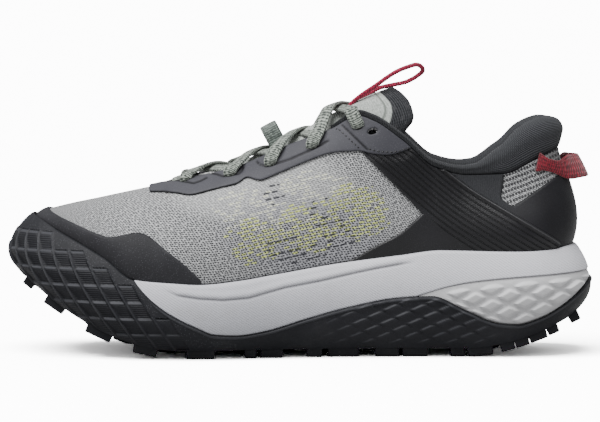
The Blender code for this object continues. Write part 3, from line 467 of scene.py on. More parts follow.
# %% Short names for nodes
class Nodes:
    """Makes the nodes of one tree; each call gives back an output that can feed the next call."""

    def __init__(self, tree):
        self.tree = tree

    def feed(self, socket, value):
        if isinstance(value, bpy.types.NodeSocket):
            self.tree.links.new(value, socket)
        elif value is not None:
            socket.default_value = value

    def node(self, kind, inputs=(), out=0, **settings):
        made = self.tree.nodes.new("ShaderNode" + kind)
        for key, value in settings.items():
            setattr(made, key, value)
        for key, value in dict(inputs).items():
            self.feed(made.inputs[key], value)
        return made.outputs[out]

    def math(self, operation, a, b=None, c=None):
        return self.node("Math", {0: a, 1: b, 2: c}, operation=operation)

    def sum(self, *values):
        return reduce(lambda a, b: self.math("ADD", a, b), values)

    def times(self, *values):
        return reduce(lambda a, b: self.math("MULTIPLY", a, b), values)

    def less(self, a, b):
        return self.math("SUBTRACT", a, b)

    def over(self, a, b):
        return self.math("DIVIDE", a, b)

    def scale_add(self, value, scale, add):
        return self.math("MULTIPLY_ADD", value, scale, add)

    def away(self, value, middle):
        """Distance of a value from a middle one."""
        return self.math("ABSOLUTE", self.less(value, middle))

    def wave(self, value, pitch):
        """0 to 1 and back once in every pitch."""
        return self.half_sine(self.times(value, 2 * math.pi / pitch))

    def half_sine(self, value):
        return self.scale_add(self.math("SINE", value), 0.5, 0.5)

    def step(self, value, start, end):
        return self.node("MapRange", {"Value": value, "From Min": start, "From Max": end},
                         interpolation_type="SMOOTHSTEP")

    def mix(self, share, a, b):
        return self.node("Mix", {0: share, 6: colour4(a), 7: colour4(b)}, out=2, data_type="RGBA")

    def noise(self, vector, size, detail=3.0, roughness=0.55):
        return self.node("TexNoise", {"Vector": vector, "Scale": 1 / size, "Detail": detail,
                                      "Roughness": roughness})

    def split(self, vector):
        made = self.tree.nodes.new("ShaderNodeSeparateXYZ")
        self.feed(made.inputs[0], vector)
        return made.outputs[0], made.outputs[1], made.outputs[2]

    def join(self, x=0.0, y=0.0, z=0.0):
        return self.node("CombineXYZ", {0: x, 1: y, 2: z})

    def uv(self):
        return self.node("UVMap", uv_map="UVMap")

    def place(self):
        return self.node("TexCoord", out="Object")

    def mark(self, name):
        return self.node("Attribute", out="Fac", attribute_name=name)

    def use(self, tree, **inputs):
        made = self.tree.nodes.new("ShaderNodeGroup")
        made.node_tree = tree
        for key, value in inputs.items():
            self.feed(made.inputs[key], value)
        return made.outputs


def colour4(colour):
    return (*colour, 1.0) if isinstance(colour, tuple) and len(colour) == 3 else colour


def node_group(name, inputs, outputs, build):
    """A node group; an input with no default is a vector, and every output is a plain number."""
    tree = bpy.data.node_groups.new(name, "ShaderNodeTree")
    for label, default in inputs.items():
        kind = "NodeSocketVector" if default is None else "NodeSocketFloat"
        socket = tree.interface.new_socket(name=label, in_out="INPUT", socket_type=kind)
        if default is not None:
            socket.default_value = default
    for label in outputs:
        tree.interface.new_socket(name=label, in_out="OUTPUT", socket_type="NodeSocketFloat")
    entry, result = tree.nodes.new("NodeGroupInput"), tree.nodes.new("NodeGroupOutput")
    made = build(Nodes(tree), {label: entry.outputs[label] for label in inputs})
    for label, socket in zip(outputs, made):
        tree.links.new(socket, result.inputs[label])
    return tree


# %% [markdown]
# The mesh of the upper is a warp knit with a small opening between every four loops. A grid of cells, half a
# cell out of step in each row and a little shaken, gives openings that stay even but never look printed.


# %% Shared pattern: knit openings
ROW_SHIFT, ROW_SPACING = 0.577, 1.155


def build_knit(n, s):
    x, y, _ = n.split(s["Vector"])
    across = n.over(n.less(x, n.times(y, ROW_SHIFT)), s["Pitch"])
    upward = n.over(n.times(y, ROW_SPACING), s["Pitch"])
    cell = n.node("TexVoronoi", {"Vector": n.join(across, upward), "Scale": 1.0, "Randomness": 0.42},
                  out="Distance", voronoi_dimensions="2D")
    return n.step(cell, 0.44, 0.20), n.step(cell, 0.15, 0.55)


KNIT_OPENINGS = node_group("knit_openings", {"Vector": None, "Pitch": 0.0014}, ("Hole", "Yarn"), build_knit)


# %% Shared pattern: short yarn dashes in rows
def build_dashes(n, s):
    x, y, _ = n.split(s["Vector"])
    row_place = n.over(y, s["Pitch"])
    row = n.math("FLOOR", row_place)
    shift = n.node("TexWhiteNoise", {"W": n.sum(row, s["Seed"])}, noise_dimensions="1D")
    run = n.sum(n.over(x, s["Length"]), n.times(shift, 9.0))
    cell = n.math("FLOOR", run)
    pick = n.node("TexWhiteNoise", {"Vector": n.join(cell, row, s["Seed"])}, noise_dimensions="3D")
    along_cell, up_cell = (n.away(n.math("FRACT", value), 0.5) for value in (run, row_place))
    upright = n.step(up_cell, n.times(s["Thick"], 0.36), n.times(s["Thick"], 0.18))
    shape = n.times(n.step(along_cell, 0.46, 0.30), upright)
    return [n.times(shape, n.math("LESS_THAN", pick, s["Density"]))]


DASHES = node_group("yarn_dashes", {"Vector": None, "Length": 0.0035, "Pitch": 0.0018, "Density": 0.5,
                                    "Seed": 1.0, "Thick": 1.0}, ("Mask",), build_dashes)


# %% Shared pattern: grain of moulded rubber, foam and film
def build_grain(n, s):
    size = n.over(1.0, s["Size"])
    fine = n.node("TexNoise", {"Vector": s["Vector"], "Scale": size, "Detail": 4.0, "Roughness": 0.6})
    speck = n.node("TexVoronoi", {"Vector": s["Vector"], "Scale": n.times(size, 0.7)}, out="Distance")
    cloud = n.node("TexNoise", {"Vector": s["Vector"], "Scale": 28.0, "Detail": 4.0})
    return fine, n.step(speck, 0.30, 0.05), n.step(cloud, 0.35, 0.70)


GRAIN = node_group("moulded_grain", {"Vector": None, "Size": 0.0006}, ("Fine", "Speck", "Cloud"), build_grain)


# %% Shared pattern: braid and webbing
def build_braid(n, s):
    x, y, _ = n.split(s["Vector"])
    fold = n.away(n.math("FRACT", n.times(x, 2.0)), 0.5)
    lean = n.sum(n.over(y, s["Pitch"]), n.times(fold, s["Slant"]))
    vee, plait = n.wave(lean, 1.0), n.half_sine(n.times(x, s["Strands"]))
    return vee, plait, n.times(vee, plait)


BRAID = node_group("woven_braid", {"Vector": None, "Pitch": 0.0018, "Slant": 3.0, "Strands": 75.0},
                   ("Vee", "Plait", "Height"), build_braid)


# %% Shared pattern: dust and rubbed places
def build_dust(n, s):
    _, _, z = n.split(s["Vector"])
    cloud = n.node("TexNoise", {"Vector": s["Vector"], "Scale": 60.0, "Detail": 6.0, "Roughness": 0.65})
    low = n.step(z, 0.060, 0.004)
    return [n.times(n.step(cloud, 0.50, 0.78), n.scale_add(low, 0.8, 0.2), s["Amount"])]


DUST = node_group("dust", {"Vector": None, "Amount": 0.3}, ("Mask",), build_dust)


# %% Material maker
def make_finish(name, build, shine=0.5, sheen=0.0):
    """build(nodes) gives colour, roughness and height in metres."""
    made = bpy.data.materials.new(name)
    made.use_nodes = True
    n = Nodes(made.node_tree)
    shader = made.node_tree.nodes["Principled BSDF"]
    colour, rough, height = build(n)
    n.feed(shader.inputs["Base Color"], colour4(colour))
    n.feed(shader.inputs["Roughness"], rough)
    if height is not None:
        n.feed(shader.inputs["Normal"], n.node("Bump", {"Height": height, "Distance": 1.0, "Strength": 1.0}))
    shader.inputs["Specular IOR Level"].default_value = shine
    shader.inputs["Sheen Weight"].default_value = sheen
    return made


def dusty(n, place, amount, colour, base):
    return n.mix(n.use(DUST, Vector=place, Amount=amount)["Mask"], base, colour)


# %% [markdown]
# Rubber: near-black, with a fine moulded grain. Inside the bumper's cells runs a fine hatch. The ledges at
# the top of the cells, the thin ridges between them, the midfoot's facets and the rim along the rubber's top
# edge
# are painted paler: a painted highlight where light from above catches them.


# %% Rubber
def rubber(n):
    place = n.place()
    grain = n.use(GRAIN, Vector=place, Size=0.0007)
    _, _, z = n.split(place)
    hatch = n.times(n.wave(z, 0.00105), n.mark("cell"))
    base = n.mix(grain["Cloud"], (0.0080, 0.0084, 0.0104), (0.0130, 0.0134, 0.0160))
    speckle = n.times(grain["Speck"], n.sum(n.times(n.mark("band"), 0.75), 0.08))
    base = n.mix(speckle, base, (0.060, 0.061, 0.068))
    # Painted highlight: paler rubber on the cell ledges, ridges, midfoot facets and top rim, where light from
    # above catches them.
    base = n.mix(n.times(n.mark("painted_ledge_highlight"), 0.75), base, (0.042, 0.043, 0.049))
    base = dusty(n, place, 0.16, (0.042, 0.041, 0.040), base)
    height = n.sum(n.times(hatch, 0.00016), n.times(grain["Fine"], 0.00012))
    return base, n.scale_add(grain["Fine"], 0.25, 0.42), height


RUBBER = make_finish("charcoal_rubber_finish", rubber, 0.13)


# %% Foam
def foam(light, dark, diagonal):
    def build(n):
        place = n.place()
        x, _, z = n.split(place)
        grain = n.use(GRAIN, Vector=place, Size=0.0009)
        slant = n.sum(n.times(x, 0.62), n.times(z, 0.95), n.times(grain["Fine"], 0.0006))
        lines = n.times(n.wave(slant, 0.00125), diagonal)
        # Painted shade: the foam is painted darker low on its side and paler toward its top, where light from
        # above falls.
        base = n.mix(n.step(z, 0.018, 0.052), dark, light)
        base = n.mix(n.times(lines, 0.16), base, (0.20, 0.20, 0.22))
        base = n.mix(n.times(grain["Speck"], 0.10), base, (0.25, 0.25, 0.27))
        # Painted shade: the groove under the bead and the gaps between the carrier's pillows are painted
        # darker, as shade falls in them.
        base = n.mix(n.times(n.mark("groove"), 0.75), base, (0.10, 0.10, 0.11))
        base = dusty(n, place, 0.30, (0.22, 0.21, 0.20), base)
        height = n.sum(n.times(lines, 0.00010), n.times(grain["Fine"], 0.00012))
        return base, n.scale_add(grain["Fine"], 0.2, 0.5), height
    return build


# Each foam has a painted lit tone for the top of its side, a painted shaded tone for its low part, and a
# strength for its diagonal lines.
FOAM = make_finish("pale_foam_finish", foam((0.52, 0.52, 0.555), (0.32, 0.325, 0.352), 1.0), 0.25)
CARRIER = make_finish("warm_foam_finish", foam((0.52, 0.52, 0.53), (0.37, 0.372, 0.38), 0.25), 0.25)

# %% [markdown]
# Knitted mesh: grey heather yarn with dark openings. The openings are wide low on the toe and at the side,
# and nearly closed over the instep, where the yarn is also painted paler as a painted highlight on the top of
# the vamp. Short bright and dark yarns lie in slanting rows on the side, and a small patch at the heel has
# rows of stitches.


# %% Knitted mesh
FLECK_SLOPE = math.radians(13)
HEEL_SLOPE = math.radians(20)
AREAS = {
    # centre along and up the side, half length and half height, in millimetres
    "closed": ((-22, 88, 46, 18), (-62, 94, 36, 9)),
    "bluish": ((2, 63, 40, 20),),
    "lime": ((-23.5, 60, 13, 11.5), (2.5, 66, 14.5, 13), (28, 74.5, 16.5, 13)),
    "pale": ((-27, 76.5, 18, 9), (7.5, 87, 19, 7), (-12, 70, 24, 7)),
    "black": ((-13, 83, 5.5, 5), (10.5, 74.5, 6.5, 8.5), (19, 62.5, 8.5, 8), (-3, 56, 15.5, 7.5),
              (37, 77.5, 3, 2.2), (27, 60.2, 3, 2.2)),
}
FLECKS = (("pale", (0.62, 0.63, 0.50), 0.55), ("lime", (0.52, 0.58, 0.13), 0.80))


def area_mask(n, x, z, areas):
    masks = []
    for cx, cz, rx, rz in np.array(areas) / 1000:
        dx, dz = n.over(n.less(x, cx), rx), n.over(n.less(z, cz), rz)
        masks.append(n.step(n.sum(n.times(dx, dx), n.times(dz, dz)), 1.5, 0.5))
    return reduce(lambda a, b: n.math("MAXIMUM", a, b), masks)


def turned(n, x, z, angle):
    """x and z in axes turned by an angle, for rows that run at a slant."""
    c, s = math.cos(angle), math.sin(angle)
    return n.join(n.sum(n.times(x, c), n.times(z, s)), n.sum(n.times(x, -s), n.times(z, c)))


def mesh(n):
    place, uv = n.place(), n.uv()
    x, _, z = n.split(place)
    knit = n.use(KNIT_OPENINGS, Vector=uv, Pitch=0.00150)
    heather = n.noise(uv, 0.0010, 2.0, 0.7)
    cloud = n.noise(place, 0.020, 3.0)
    area = {label: area_mask(n, x, z, areas) for label, areas in AREAS.items()}
    toe = n.step(x, -0.085, -0.115)
    # Over the instep (the closed areas) the openings fade and the yarn turns paler: partly a closer knit,
    # partly a painted highlight where light from above falls on the top of the vamp.
    strength = n.sum(n.times(area["closed"], -0.52), n.times(cloud, 0.25), n.times(toe, 0.5), 0.88)
    yarn = n.mix(n.step(heather, 0.30, 0.70), (0.20, 0.203, 0.207), (0.44, 0.445, 0.45))
    yarn = n.mix(n.times(area["closed"], 0.40), yarn, (0.42, 0.425, 0.42))
    yarn = n.mix(n.times(area["bluish"], 0.40), yarn, (0.21, 0.21, 0.25))
    rows = turned(n, x, z, FLECK_SLOPE)
    for seed, (label, colour, most) in enumerate(FLECKS):
        mask = n.use(DASHES, Vector=rows, Length=0.0036, Pitch=0.00185, Seed=3.0 + seed,
                     Density=n.times(area[label], most))["Mask"]
        yarn = n.mix(n.times(mask, 0.85), yarn, colour)
    base = n.mix(n.times(knit["Hole"], strength), yarn, (0.018, 0.018, 0.022))
    slits = n.use(DASHES, Vector=rows, Length=0.0042, Pitch=0.0031, Seed=11.0, Thick=0.55,
                  Density=n.times(area["black"], 0.72))["Mask"]
    base = n.mix(n.times(slits, 0.9), base, (0.013, 0.013, 0.020))
    dots = n.use(DASHES, Vector=turned(n, x, z, HEEL_SLOPE), Length=0.0016, Pitch=0.0026, Seed=5.0,
                 Density=1.1)["Mask"]
    base = n.mix(n.times(n.step(x, 0.090, 0.0905), n.times(dots, 0.9)), base, (0.010, 0.010, 0.012))
    height = n.sum(n.times(knit["Yarn"], 0.00030), n.times(slits, -0.00030), n.times(heather, 0.00008))
    return base, n.scale_add(heather, 0.15, 0.78), height


MESH = make_finish("heather_mesh_finish", mesh, 0.25, 0.15)

# %% [markdown]
# Welded films: thin sheets with a leather-like grain. The saddle is satin and ribbed, with painted shade in
# its rib grooves; the toe cap is speckled and matte; the eyestay is slate grey with pressed lines, painted
# darker as painted shade, and a painted shadow line along its edge.


# %% Films
RIB_PITCH = 0.00245


def paler(colour, times, most):
    return tuple(min(times * c, most) for c in colour)


def film(dark, light, speck, roughness, lines=False, ribs=False):
    def build(n):
        place = n.place()
        grain = n.use(GRAIN, Vector=place, Size=0.00065)
        base = n.mix(grain["Cloud"], dark, light)
        base = n.mix(n.times(grain["Speck"], speck), base, paler(light, 6, 0.3))
        height = n.sum(n.times(grain["Fine"], 0.00010), n.times(grain["Speck"], 0.00004))
        if lines:
            # Painted shade: the pressed lines and a painted shadow line along the film's edge are painted
            # near-black.
            base = n.mix(n.times(n.mark("pressed_and_edge_shade"), 0.92), base, (0.006, 0.006, 0.008))
        if ribs:
            share = n.math("FRACT", n.over(n.mark("rib"), RIB_PITCH))
            groove = n.times(n.step(n.away(share, 0.5), 0.30, 0.47), n.mark("rib_reach"))
            # Painted shade: the rib grooves are painted darker, where shade falls in them.
            base = n.mix(n.times(groove, 0.6), base, (0.0015, 0.0015, 0.002))
            base = n.mix(n.mark("thread"), base, (0.045, 0.045, 0.048))
            height = n.sum(height, n.times(groove, -0.00060))
        base = dusty(n, place, 0.07, paler(light, 5, 0.10), base)
        return base, n.scale_add(grain["Fine"], 0.2, roughness - 0.1), height
    return build


TOE_FILM = make_finish("toe_film_finish",
                       film((0.0135, 0.0135, 0.0155), (0.0215, 0.0215, 0.0245), 0.34, 0.60), 0.14)
FILM = make_finish("black_film_finish",
                   film((0.0050, 0.0050, 0.0062), (0.0078, 0.0078, 0.0096), 0.05, 0.33, ribs=True), 0.28)
SLATE = make_finish("slate_film_finish",
                    film((0.034, 0.034, 0.041), (0.046, 0.046, 0.054), 0.12, 0.55, lines=True), 0.20)

# %% [markdown]
# Knit of collar and tongue: charcoal yarn in fine ribs with a soft sheen. The tongue's face carries a pale
# panel; a distance kept at every point tells the finish where its edge runs.


# %% Charcoal knit
def rib_knit(n, uv, pitch, light=(0.050, 0.052, 0.057)):
    x, y, _ = n.split(uv)
    heather = n.noise(uv, 0.0011, 2.0, 0.7)
    rib = n.wave(n.sum(y, n.times(heather, 0.0003)), pitch)
    loops = n.wave(n.sum(x, n.times(rib, 0.0005)), 0.0011)
    base = n.mix(n.times(rib, n.scale_add(loops, 0.5, 0.5)), (0.0095, 0.0100, 0.0115), light)
    base = n.mix(n.times(n.step(heather, 0.52, 0.75), 0.4), base, (0.055, 0.056, 0.060))
    return base, n.sum(n.times(rib, 0.00022), n.times(loops, 0.00008))


def collar_knit(n):
    base, height = rib_knit(n, n.uv(), 0.00115, (0.080, 0.083, 0.090))
    base = n.mix(n.times(n.mark("seam"), 0.9), base, (0.003, 0.003, 0.004))
    return base, 0.85, height


def tongue_knit(n):
    uv = n.uv()
    base, height = rib_knit(n, uv, 0.0013)
    slub = n.noise(uv, 0.0022, 3.0, 0.7)
    base = n.mix(n.times(n.step(slub, 0.48, 0.66), 0.5), base, (0.060, 0.060, 0.063))
    inside_panel = n.step(n.mark("panel"), -0.0003, 0.0003)
    heather = n.noise(uv, 0.0009, 2.0, 0.7)
    pale = n.mix(n.step(heather, 0.3, 0.7), (0.24, 0.26, 0.24), (0.42, 0.44, 0.42))
    pale = n.mix(n.step(n.away(n.mark("panel"), 0.0022), 0.0006, 0.0002), pale, (0.16, 0.175, 0.16))
    return n.mix(inside_panel, base, pale), 0.85, n.sum(height, n.times(inside_panel, 0.0002))


def counter(n):
    """Film round the heel that gives way to knit in the corner below the collar."""
    base, rough, height = film((0.0066, 0.0066, 0.0080), (0.0104, 0.0104, 0.0124), 0.10, 0.55)(n)
    x, _, z = n.split(n.place())
    knit, knit_height = rib_knit(n, n.uv(), 0.0011)
    corner = n.times(n.step(z, 0.064, 0.074), n.step(x, 0.112, 0.100))
    height = n.sum(height, n.times(knit_height, corner))
    return n.mix(corner, base, knit), n.scale_add(corner, 0.3, rough), height


KNIT = make_finish("charcoal_knit_finish", collar_knit, 0.08, 0.04)
TONGUE_KNIT = make_finish("tongue_knit_finish", tongue_knit, 0.08, 0.04)
COUNTER_FILM = make_finish("counter_film_finish", counter, 0.16)


# %% Laces, webbing and cord
def braid(dark, light, pitch, slant, strands, depth):
    def build(n):
        uv = n.uv()
        weave = n.use(BRAID, Vector=uv, Pitch=pitch, Slant=slant, Strands=strands)
        x, y, _ = n.split(uv)
        tone = n.step(n.noise(n.join(n.times(x, 0.012), n.times(y, 0.6)), 0.0009, 2.0, 0.7), 0.32, 0.68)
        share = n.sum(n.times(weave["Vee"], 0.45), n.times(weave["Plait"], 0.20), n.times(tone, 0.50))
        base = n.mix(n.step(share, 0.25, 1.0), dark, light)
        return base, 0.8, n.times(weave["Height"], depth)
    return build


BRAIDS = {
    # dark and light colour, pitch, slant, strands, depth, and how strongly it shines
    "heather_lace": ((0.016, 0.022, 0.019), (0.30, 0.33, 0.29), 0.0013, 1.1, 56.5, 0.00030, 0.25),
    "sage_webbing": ((0.050, 0.062, 0.055), (0.17, 0.20, 0.18), 0.0011, 0.0, 88.0, 0.00025, 0.25),
    "crimson_webbing": ((0.045, 0.001, 0.005), (0.25, 0.005, 0.020), 0.0013, 1.2, 94.2, 0.00025, 0.3),
    "crimson_cord": ((0.09, 0.004, 0.016), (0.46, 0.016, 0.065), 0.0013, 2.0, 37.7, 0.00025, 0.3),
}
LACE, WEBBING, RED, CORD = (make_finish(f"{label}_finish", braid(*row[:-1]), row[-1], 0.2)
                            for label, row in BRAIDS.items())


def thread(n):
    return (0.006, 0.006, 0.007), n.step(n.noise(n.place(), 0.0005), 0, 2), None


def sock(n):
    heather = n.noise(n.place(), 0.0012, 3.0, 0.7)
    return n.mix(heather, (0.010, 0.010, 0.012), (0.035, 0.035, 0.040)), 0.9, n.times(heather, 0.0003)


THREAD = make_finish("black_thread_finish", thread)
SOCK = make_finish("insole_cloth_finish", sock)
print("materials:", len(bpy.data.materials), "node groups:", len(bpy.data.node_groups))

# %% [markdown]
# ## Sole
# The outsole is one moulded rubber tray: a thin base, a wall that climbs to the bumper round the toe, and
# the tread blocks below. Its section is walked as one closed path, from the middle of the tray's floor up
# inside the wall, over its edge, down the outside and back to the middle underneath, so one draped grid
# makes the whole closed tray. Columns stand closer where relief is moulded in.

# %% Moulded relief of the rubber wall
CELL_HEIGHT = 0.0082
CELL_BOTTOM = 0.0053
CELL_WIDTH = 0.0091
CELL_LEAN = 0.65
CELL_DEPTH = 0.0013
CELL_RIDGE = 0.0008
LOWEST_CELL = 0.006
CELL_FADE, CELL_END = 0.085, 0.118
BAND_WIDTH = 0.0056
ROLL_HEIGHT = 0.0026
ROLL_REACH = 0.030
RIM_LINE = 0.0013


def toe_distance(turn):
    """Length along the outline from the toe's tip, the same on both sides."""
    return abs(np.mod(turn, 1.0) - 0.5) * PERIMETER


def edge_near(share):
    """How far a share of a repeating cell lies from the cell's nearer edge."""
    return np.minimum(share, 1 - share)


def bumper_relief(turn, points):
    """Rows of leaning cells. Each cell's face slopes back from a ledge at its top that catches the light."""
    s, z = toe_distance(turn), points[:, 2]
    row = (z - CELL_BOTTOM) / CELL_HEIGHT
    column = (s + CELL_LEAN * z) / CELL_WIDTH
    t, c = np.mod(row, 1.0), np.mod(column, 1.0)
    face = ramp(t, 0.06, 0.84) * (1 - ramp(t, 0.88, 0.99))
    ridge = 1 - ramp(edge_near(c), 0.025, 0.070)
    trench = ramp(edge_near(c), 0.09, 0.15)
    centre_row = (np.floor(row) + 0.5) * CELL_HEIGHT + CELL_BOTTOM
    centre_s = (np.floor(column) + 0.5) * CELL_WIDTH - CELL_LEAN * centre_row
    edge_at = np.interp(centre_s, EDGE_WALK, EDGE_HEIGHT)
    present = ((edge_at - centre_row > BAND_WIDTH) & (centre_row > LOWEST_CELL) & (centre_s < CELL_END)
               & (centre_s > -0.02)).astype(float)
    fade = 1 - ramp(s, CELL_FADE, CELL_END)
    relief = present * np.maximum(face * trench * CELL_DEPTH, ridge * CELL_RIDGE) * (0.35 + 0.65 * fade)
    # lit is a painted highlight: the cell's top ledge and its ridges, which the rubber finish paints paler.
    lit = present * np.maximum(ramp(t, 0.80, 0.90) * trench, ridge * 0.55) * (0.4 + 0.6 * fade)
    return relief, lit, present * trench


def facets(x, z, rise, fall, spacing):
    """Shares of diamond cells between lines that climb at one angle and lines that fall at another."""
    rise, fall = math.radians(rise), math.radians(fall)
    a = (z * math.cos(rise) - x * math.sin(rise)) / spacing[0]
    b = (z * math.cos(fall) + x * math.sin(fall)) / spacing[1]
    return np.mod(a, 1.0), np.mod(b, 1.0)


def midfoot_relief(points):
    x, z = points[:, 0], points[:, 2]
    t, c = facets(x, z, 24, 30, (0.0058, 0.0070))
    area = ramp(x, 0.000, 0.045) * (1 - ramp(x, 0.088, 0.104)) * ramp(z, 0.0065, 0.0095)
    face = ramp(t, 0.05, 0.80) * (1 - ramp(t, 0.84, 0.98))
    # lit is a painted highlight along the upper edge of each facet.
    lit = area * ramp(t, 0.83, 0.92) * ramp(abs(c - 0.5), 0.42, 0.20)
    return area * face * ramp(edge_near(c), 0.04, 0.14) * 0.0009, lit


# %% Outsole tray
OUTER_ROWS = 88
OUTSOLE_ROWS = (
    # toward the middle, share of the rubber's height, inset, lift, outside
    [(m, 0.0, RUBBER_WALL, RUBBER_BASE, 0.0) for m in (1.0, 0.66, 0.33, 0.0)]
    + [(0.0, f, RUBBER_WALL, 0.0, 0.0) for f in (0.30, 0.60, 0.90)]
    + [(0.0, 0.985, 0.0018, 0.0, 0.0), (0.0, 1.0, 0.0013, 0.0, 0.0), (0.0, 1.0, 0.0005, 0.0, 0.0)]
    + [(0.0, 0.988, 0.0, 0.0, 0.0)]
    + [(0.0, 0.982 - 0.982 * i / OUTER_ROWS, 0.0, 0.0, 1.0) for i in range(OUTER_ROWS + 1)]
    + [(m, 0.0, 0.0, 0.0, 0.0) for m in (0.03, 0.06, 0.12, 0.3, 0.5, 0.7, 0.85, 1.0)]
)
HALF_COLUMNS = (0.0, 0.075, 0.36, 0.44, 1.0)
HALF_TURNS = (0.0, *(turn_of(along, -1) for along in (0.10, 0.52, 0.66)), 0.5)


def closer_columns(u):
    """Turns that crowd the columns where the bumper's cells and the midfoot's facets are."""
    half = np.interp(1 - abs(2 * u - 1), HALF_COLUMNS, HALF_TURNS)
    return np.where(u <= 0.5, half, 1.0 - half)


def rubber_share(turn):
    return np.where(along_of(turn) > TOE_WRAP, 1.0, wall_share(turn, rubber_edge["top"]))


EDGE_TURNS = np.linspace(0.5, 0.2, 200)
EDGE_WALK = toe_distance(EDGE_TURNS)
EDGE_HEIGHT = wall_point(EDGE_TURNS, rubber_share(EDGE_TURNS))[:, 2]


def remap_u(bm, count, lengths):
    """Gives the UV map real lengths where columns aren't evenly spaced."""
    uv = bm.loops.layers.uv.active
    for face in bm.faces:
        for loop in face.loops:
            loop[uv].uv[0] = lengths[round(loop[uv].uv[0] * count)]


def tray_points(u, w):
    middle, share, inset, lift, outside = rail(OUTSOLE_ROWS, w)
    turn = closer_columns(u)
    most = rubber_share(turn)
    here = wall_point(turn, share * most, inset)
    there = wall_point(1.0 - turn, share * most, inset)
    mix = (middle / 2)[:, None]
    points = here * (1 - mix) + there * mix
    points[:, 2] += lift
    to_edge = np.interp(toe_distance(turn), EDGE_WALK, EDGE_HEIGHT) - points[:, 2]
    bumper, bumper_lit, cell = bumper_relief(turn, points)
    facet_height, facets_lit = midfoot_relief(points)
    inner_edge = outside * ramp(share, 0.0, 0.05)
    relief = (bumper + facet_height) * inner_edge
    toe_wall = (along_of(turn) > 0.60).astype(float)
    under_foam = ramp(toe_distance(turn), 0.100, 0.112)
    edge_drop = (1 - share) * (wall_point(turn, most)[:, 2] - wall_point(turn, np.zeros(len(turn)))[:, 2])
    rim = under_foam * (1 - ramp(abs(edge_drop - RIM_LINE), 0.0003, 0.0008)) * outside
    relief += rim * 0.0005
    # The rim is painted paler too: a painted highlight along the rubber's top edge.
    facets_lit = np.maximum(facets_lit, rim * 0.6)
    outer_face = (inset < 0.0010) * (middle < 0.01)
    roll = np.exp(-((toe_distance(turn) / ROLL_REACH) ** 2)) * ramp(share, 0.55, 1.0) * outer_face
    points[:, 2] += roll * ROLL_HEIGHT
    points[:, :2] += outward(turn) * (relief - 0.0009 * inner_edge * cell)[:, None]
    band_mask = outside * toe_wall * (1 - np.minimum(cell * 3, 1)) * ramp(to_edge, 0.012, 0.009)
    return points, (bumper_lit + facets_lit) * inner_edge, cell * inner_edge, band_mask


TRAY_COLUMNS = 820
bm, u, w = grid(TRAY_COLUMNS, len(OUTSOLE_ROWS) - 1, (1.0, 0.12))
tray, *marks = tray_points(u, w)
place_points(bm, tray)
# The first mark is the painted highlight on ledges, ridges, facets and rim; then come the cells and the
# speckled band.
for label, values in zip(("painted_ledge_highlight", "cell", "band"), marks):
    store(bm, label, values)
remap_u(bm, TRAY_COLUMNS, (PERIMETER * closer_columns(np.linspace(0, 1, TRAY_COLUMNS + 1))).tolist())
close_up(bm)
finish_piece(bm, "outsole_tray", RUBBER, ("outsole",), "charcoal_rubber")

# %% [markdown]
# The tread blocks stand in rows across the sole. Each starts as a cube, is scaled, tapered to its draft and
# bevelled, and then moved to its place, which is cheaper than cutting grooves between them.

# %% Tread blocks
LUG_ROWS = (0.062, 0.126, 0.192, 0.260, 0.330, 0.402, 0.474, 0.546, 0.616, 0.684, 0.750, 0.816, 0.878, 0.935)
LUG_LENGTH = 0.0110
LUG_ROOT = 0.0012
LUG_DRAFT = 0.0012
LUG_PITCH = 0.0250
LUG_STAGGER = 0.0045
LUG_TURN = math.radians(20)
LUG_ROUND = 0.0006
LEVEL_SLOPE = 0.05


def tread_block(bm, x, y, angle, width, length=LUG_LENGTH, draft=LUG_DRAFT):
    along = place_of(x)
    slope = math.atan2(spring(along - TURN_STEP) - spring(along + TURN_STEP), 2 * TURN_STEP * LENGTH)
    if abs(slope) < LEVEL_SLOPE:
        slope = 0.0
    made = bmesh.ops.create_cube(bm, size=1.0)["verts"]
    for vert in made:
        low = vert.co.z < 0
        taper = 2 * draft if low else 0.0
        vert.co.x *= length - taper
        vert.co.y *= width - taper
        vert.co.z = 0.0 if low else LUG_HEIGHT + LUG_ROOT
    spin = Matrix.Rotation(angle, 4, "Z")
    tilt = Matrix.Rotation(-slope, 4, "Y")
    move = Matrix.Translation((x, y, float(spring(along))))
    bmesh.ops.transform(bm, matrix=move @ tilt @ spin, verts=made)
    for vert in made:
        vert.co.z = max(vert.co.z, 0.0)
    edges = {e for v in made for e in v.link_edges}
    bmesh.ops.bevel(bm, geom=list(edges), offset=LUG_ROUND, offset_type="OFFSET", segments=2, profile=0.5,
                    affect="EDGES", material=-1, clamp_overlap=True)


# First and last point of each block along both edges, in millimetres from the middle of the shoe.
EDGE_LUGS = (
    (-143.5, -137.0), (-132.5, -120.5), (-110.5, -96.0), (-85.5, -72.5), (-58.0, -43.0), (-28.5, -22.0),
    (-20.5, -8.5), (3.0, 11.5), (14.0, 30.0), (38.0, 50.8), (52.0, 65.5), (76.5, 84.5), (85.5, 99.0),
    (102.5, 110.4), (110.0, 117.8), (117.2, 127.2), (126.6, 133.2), (138.5, 144.5),
)

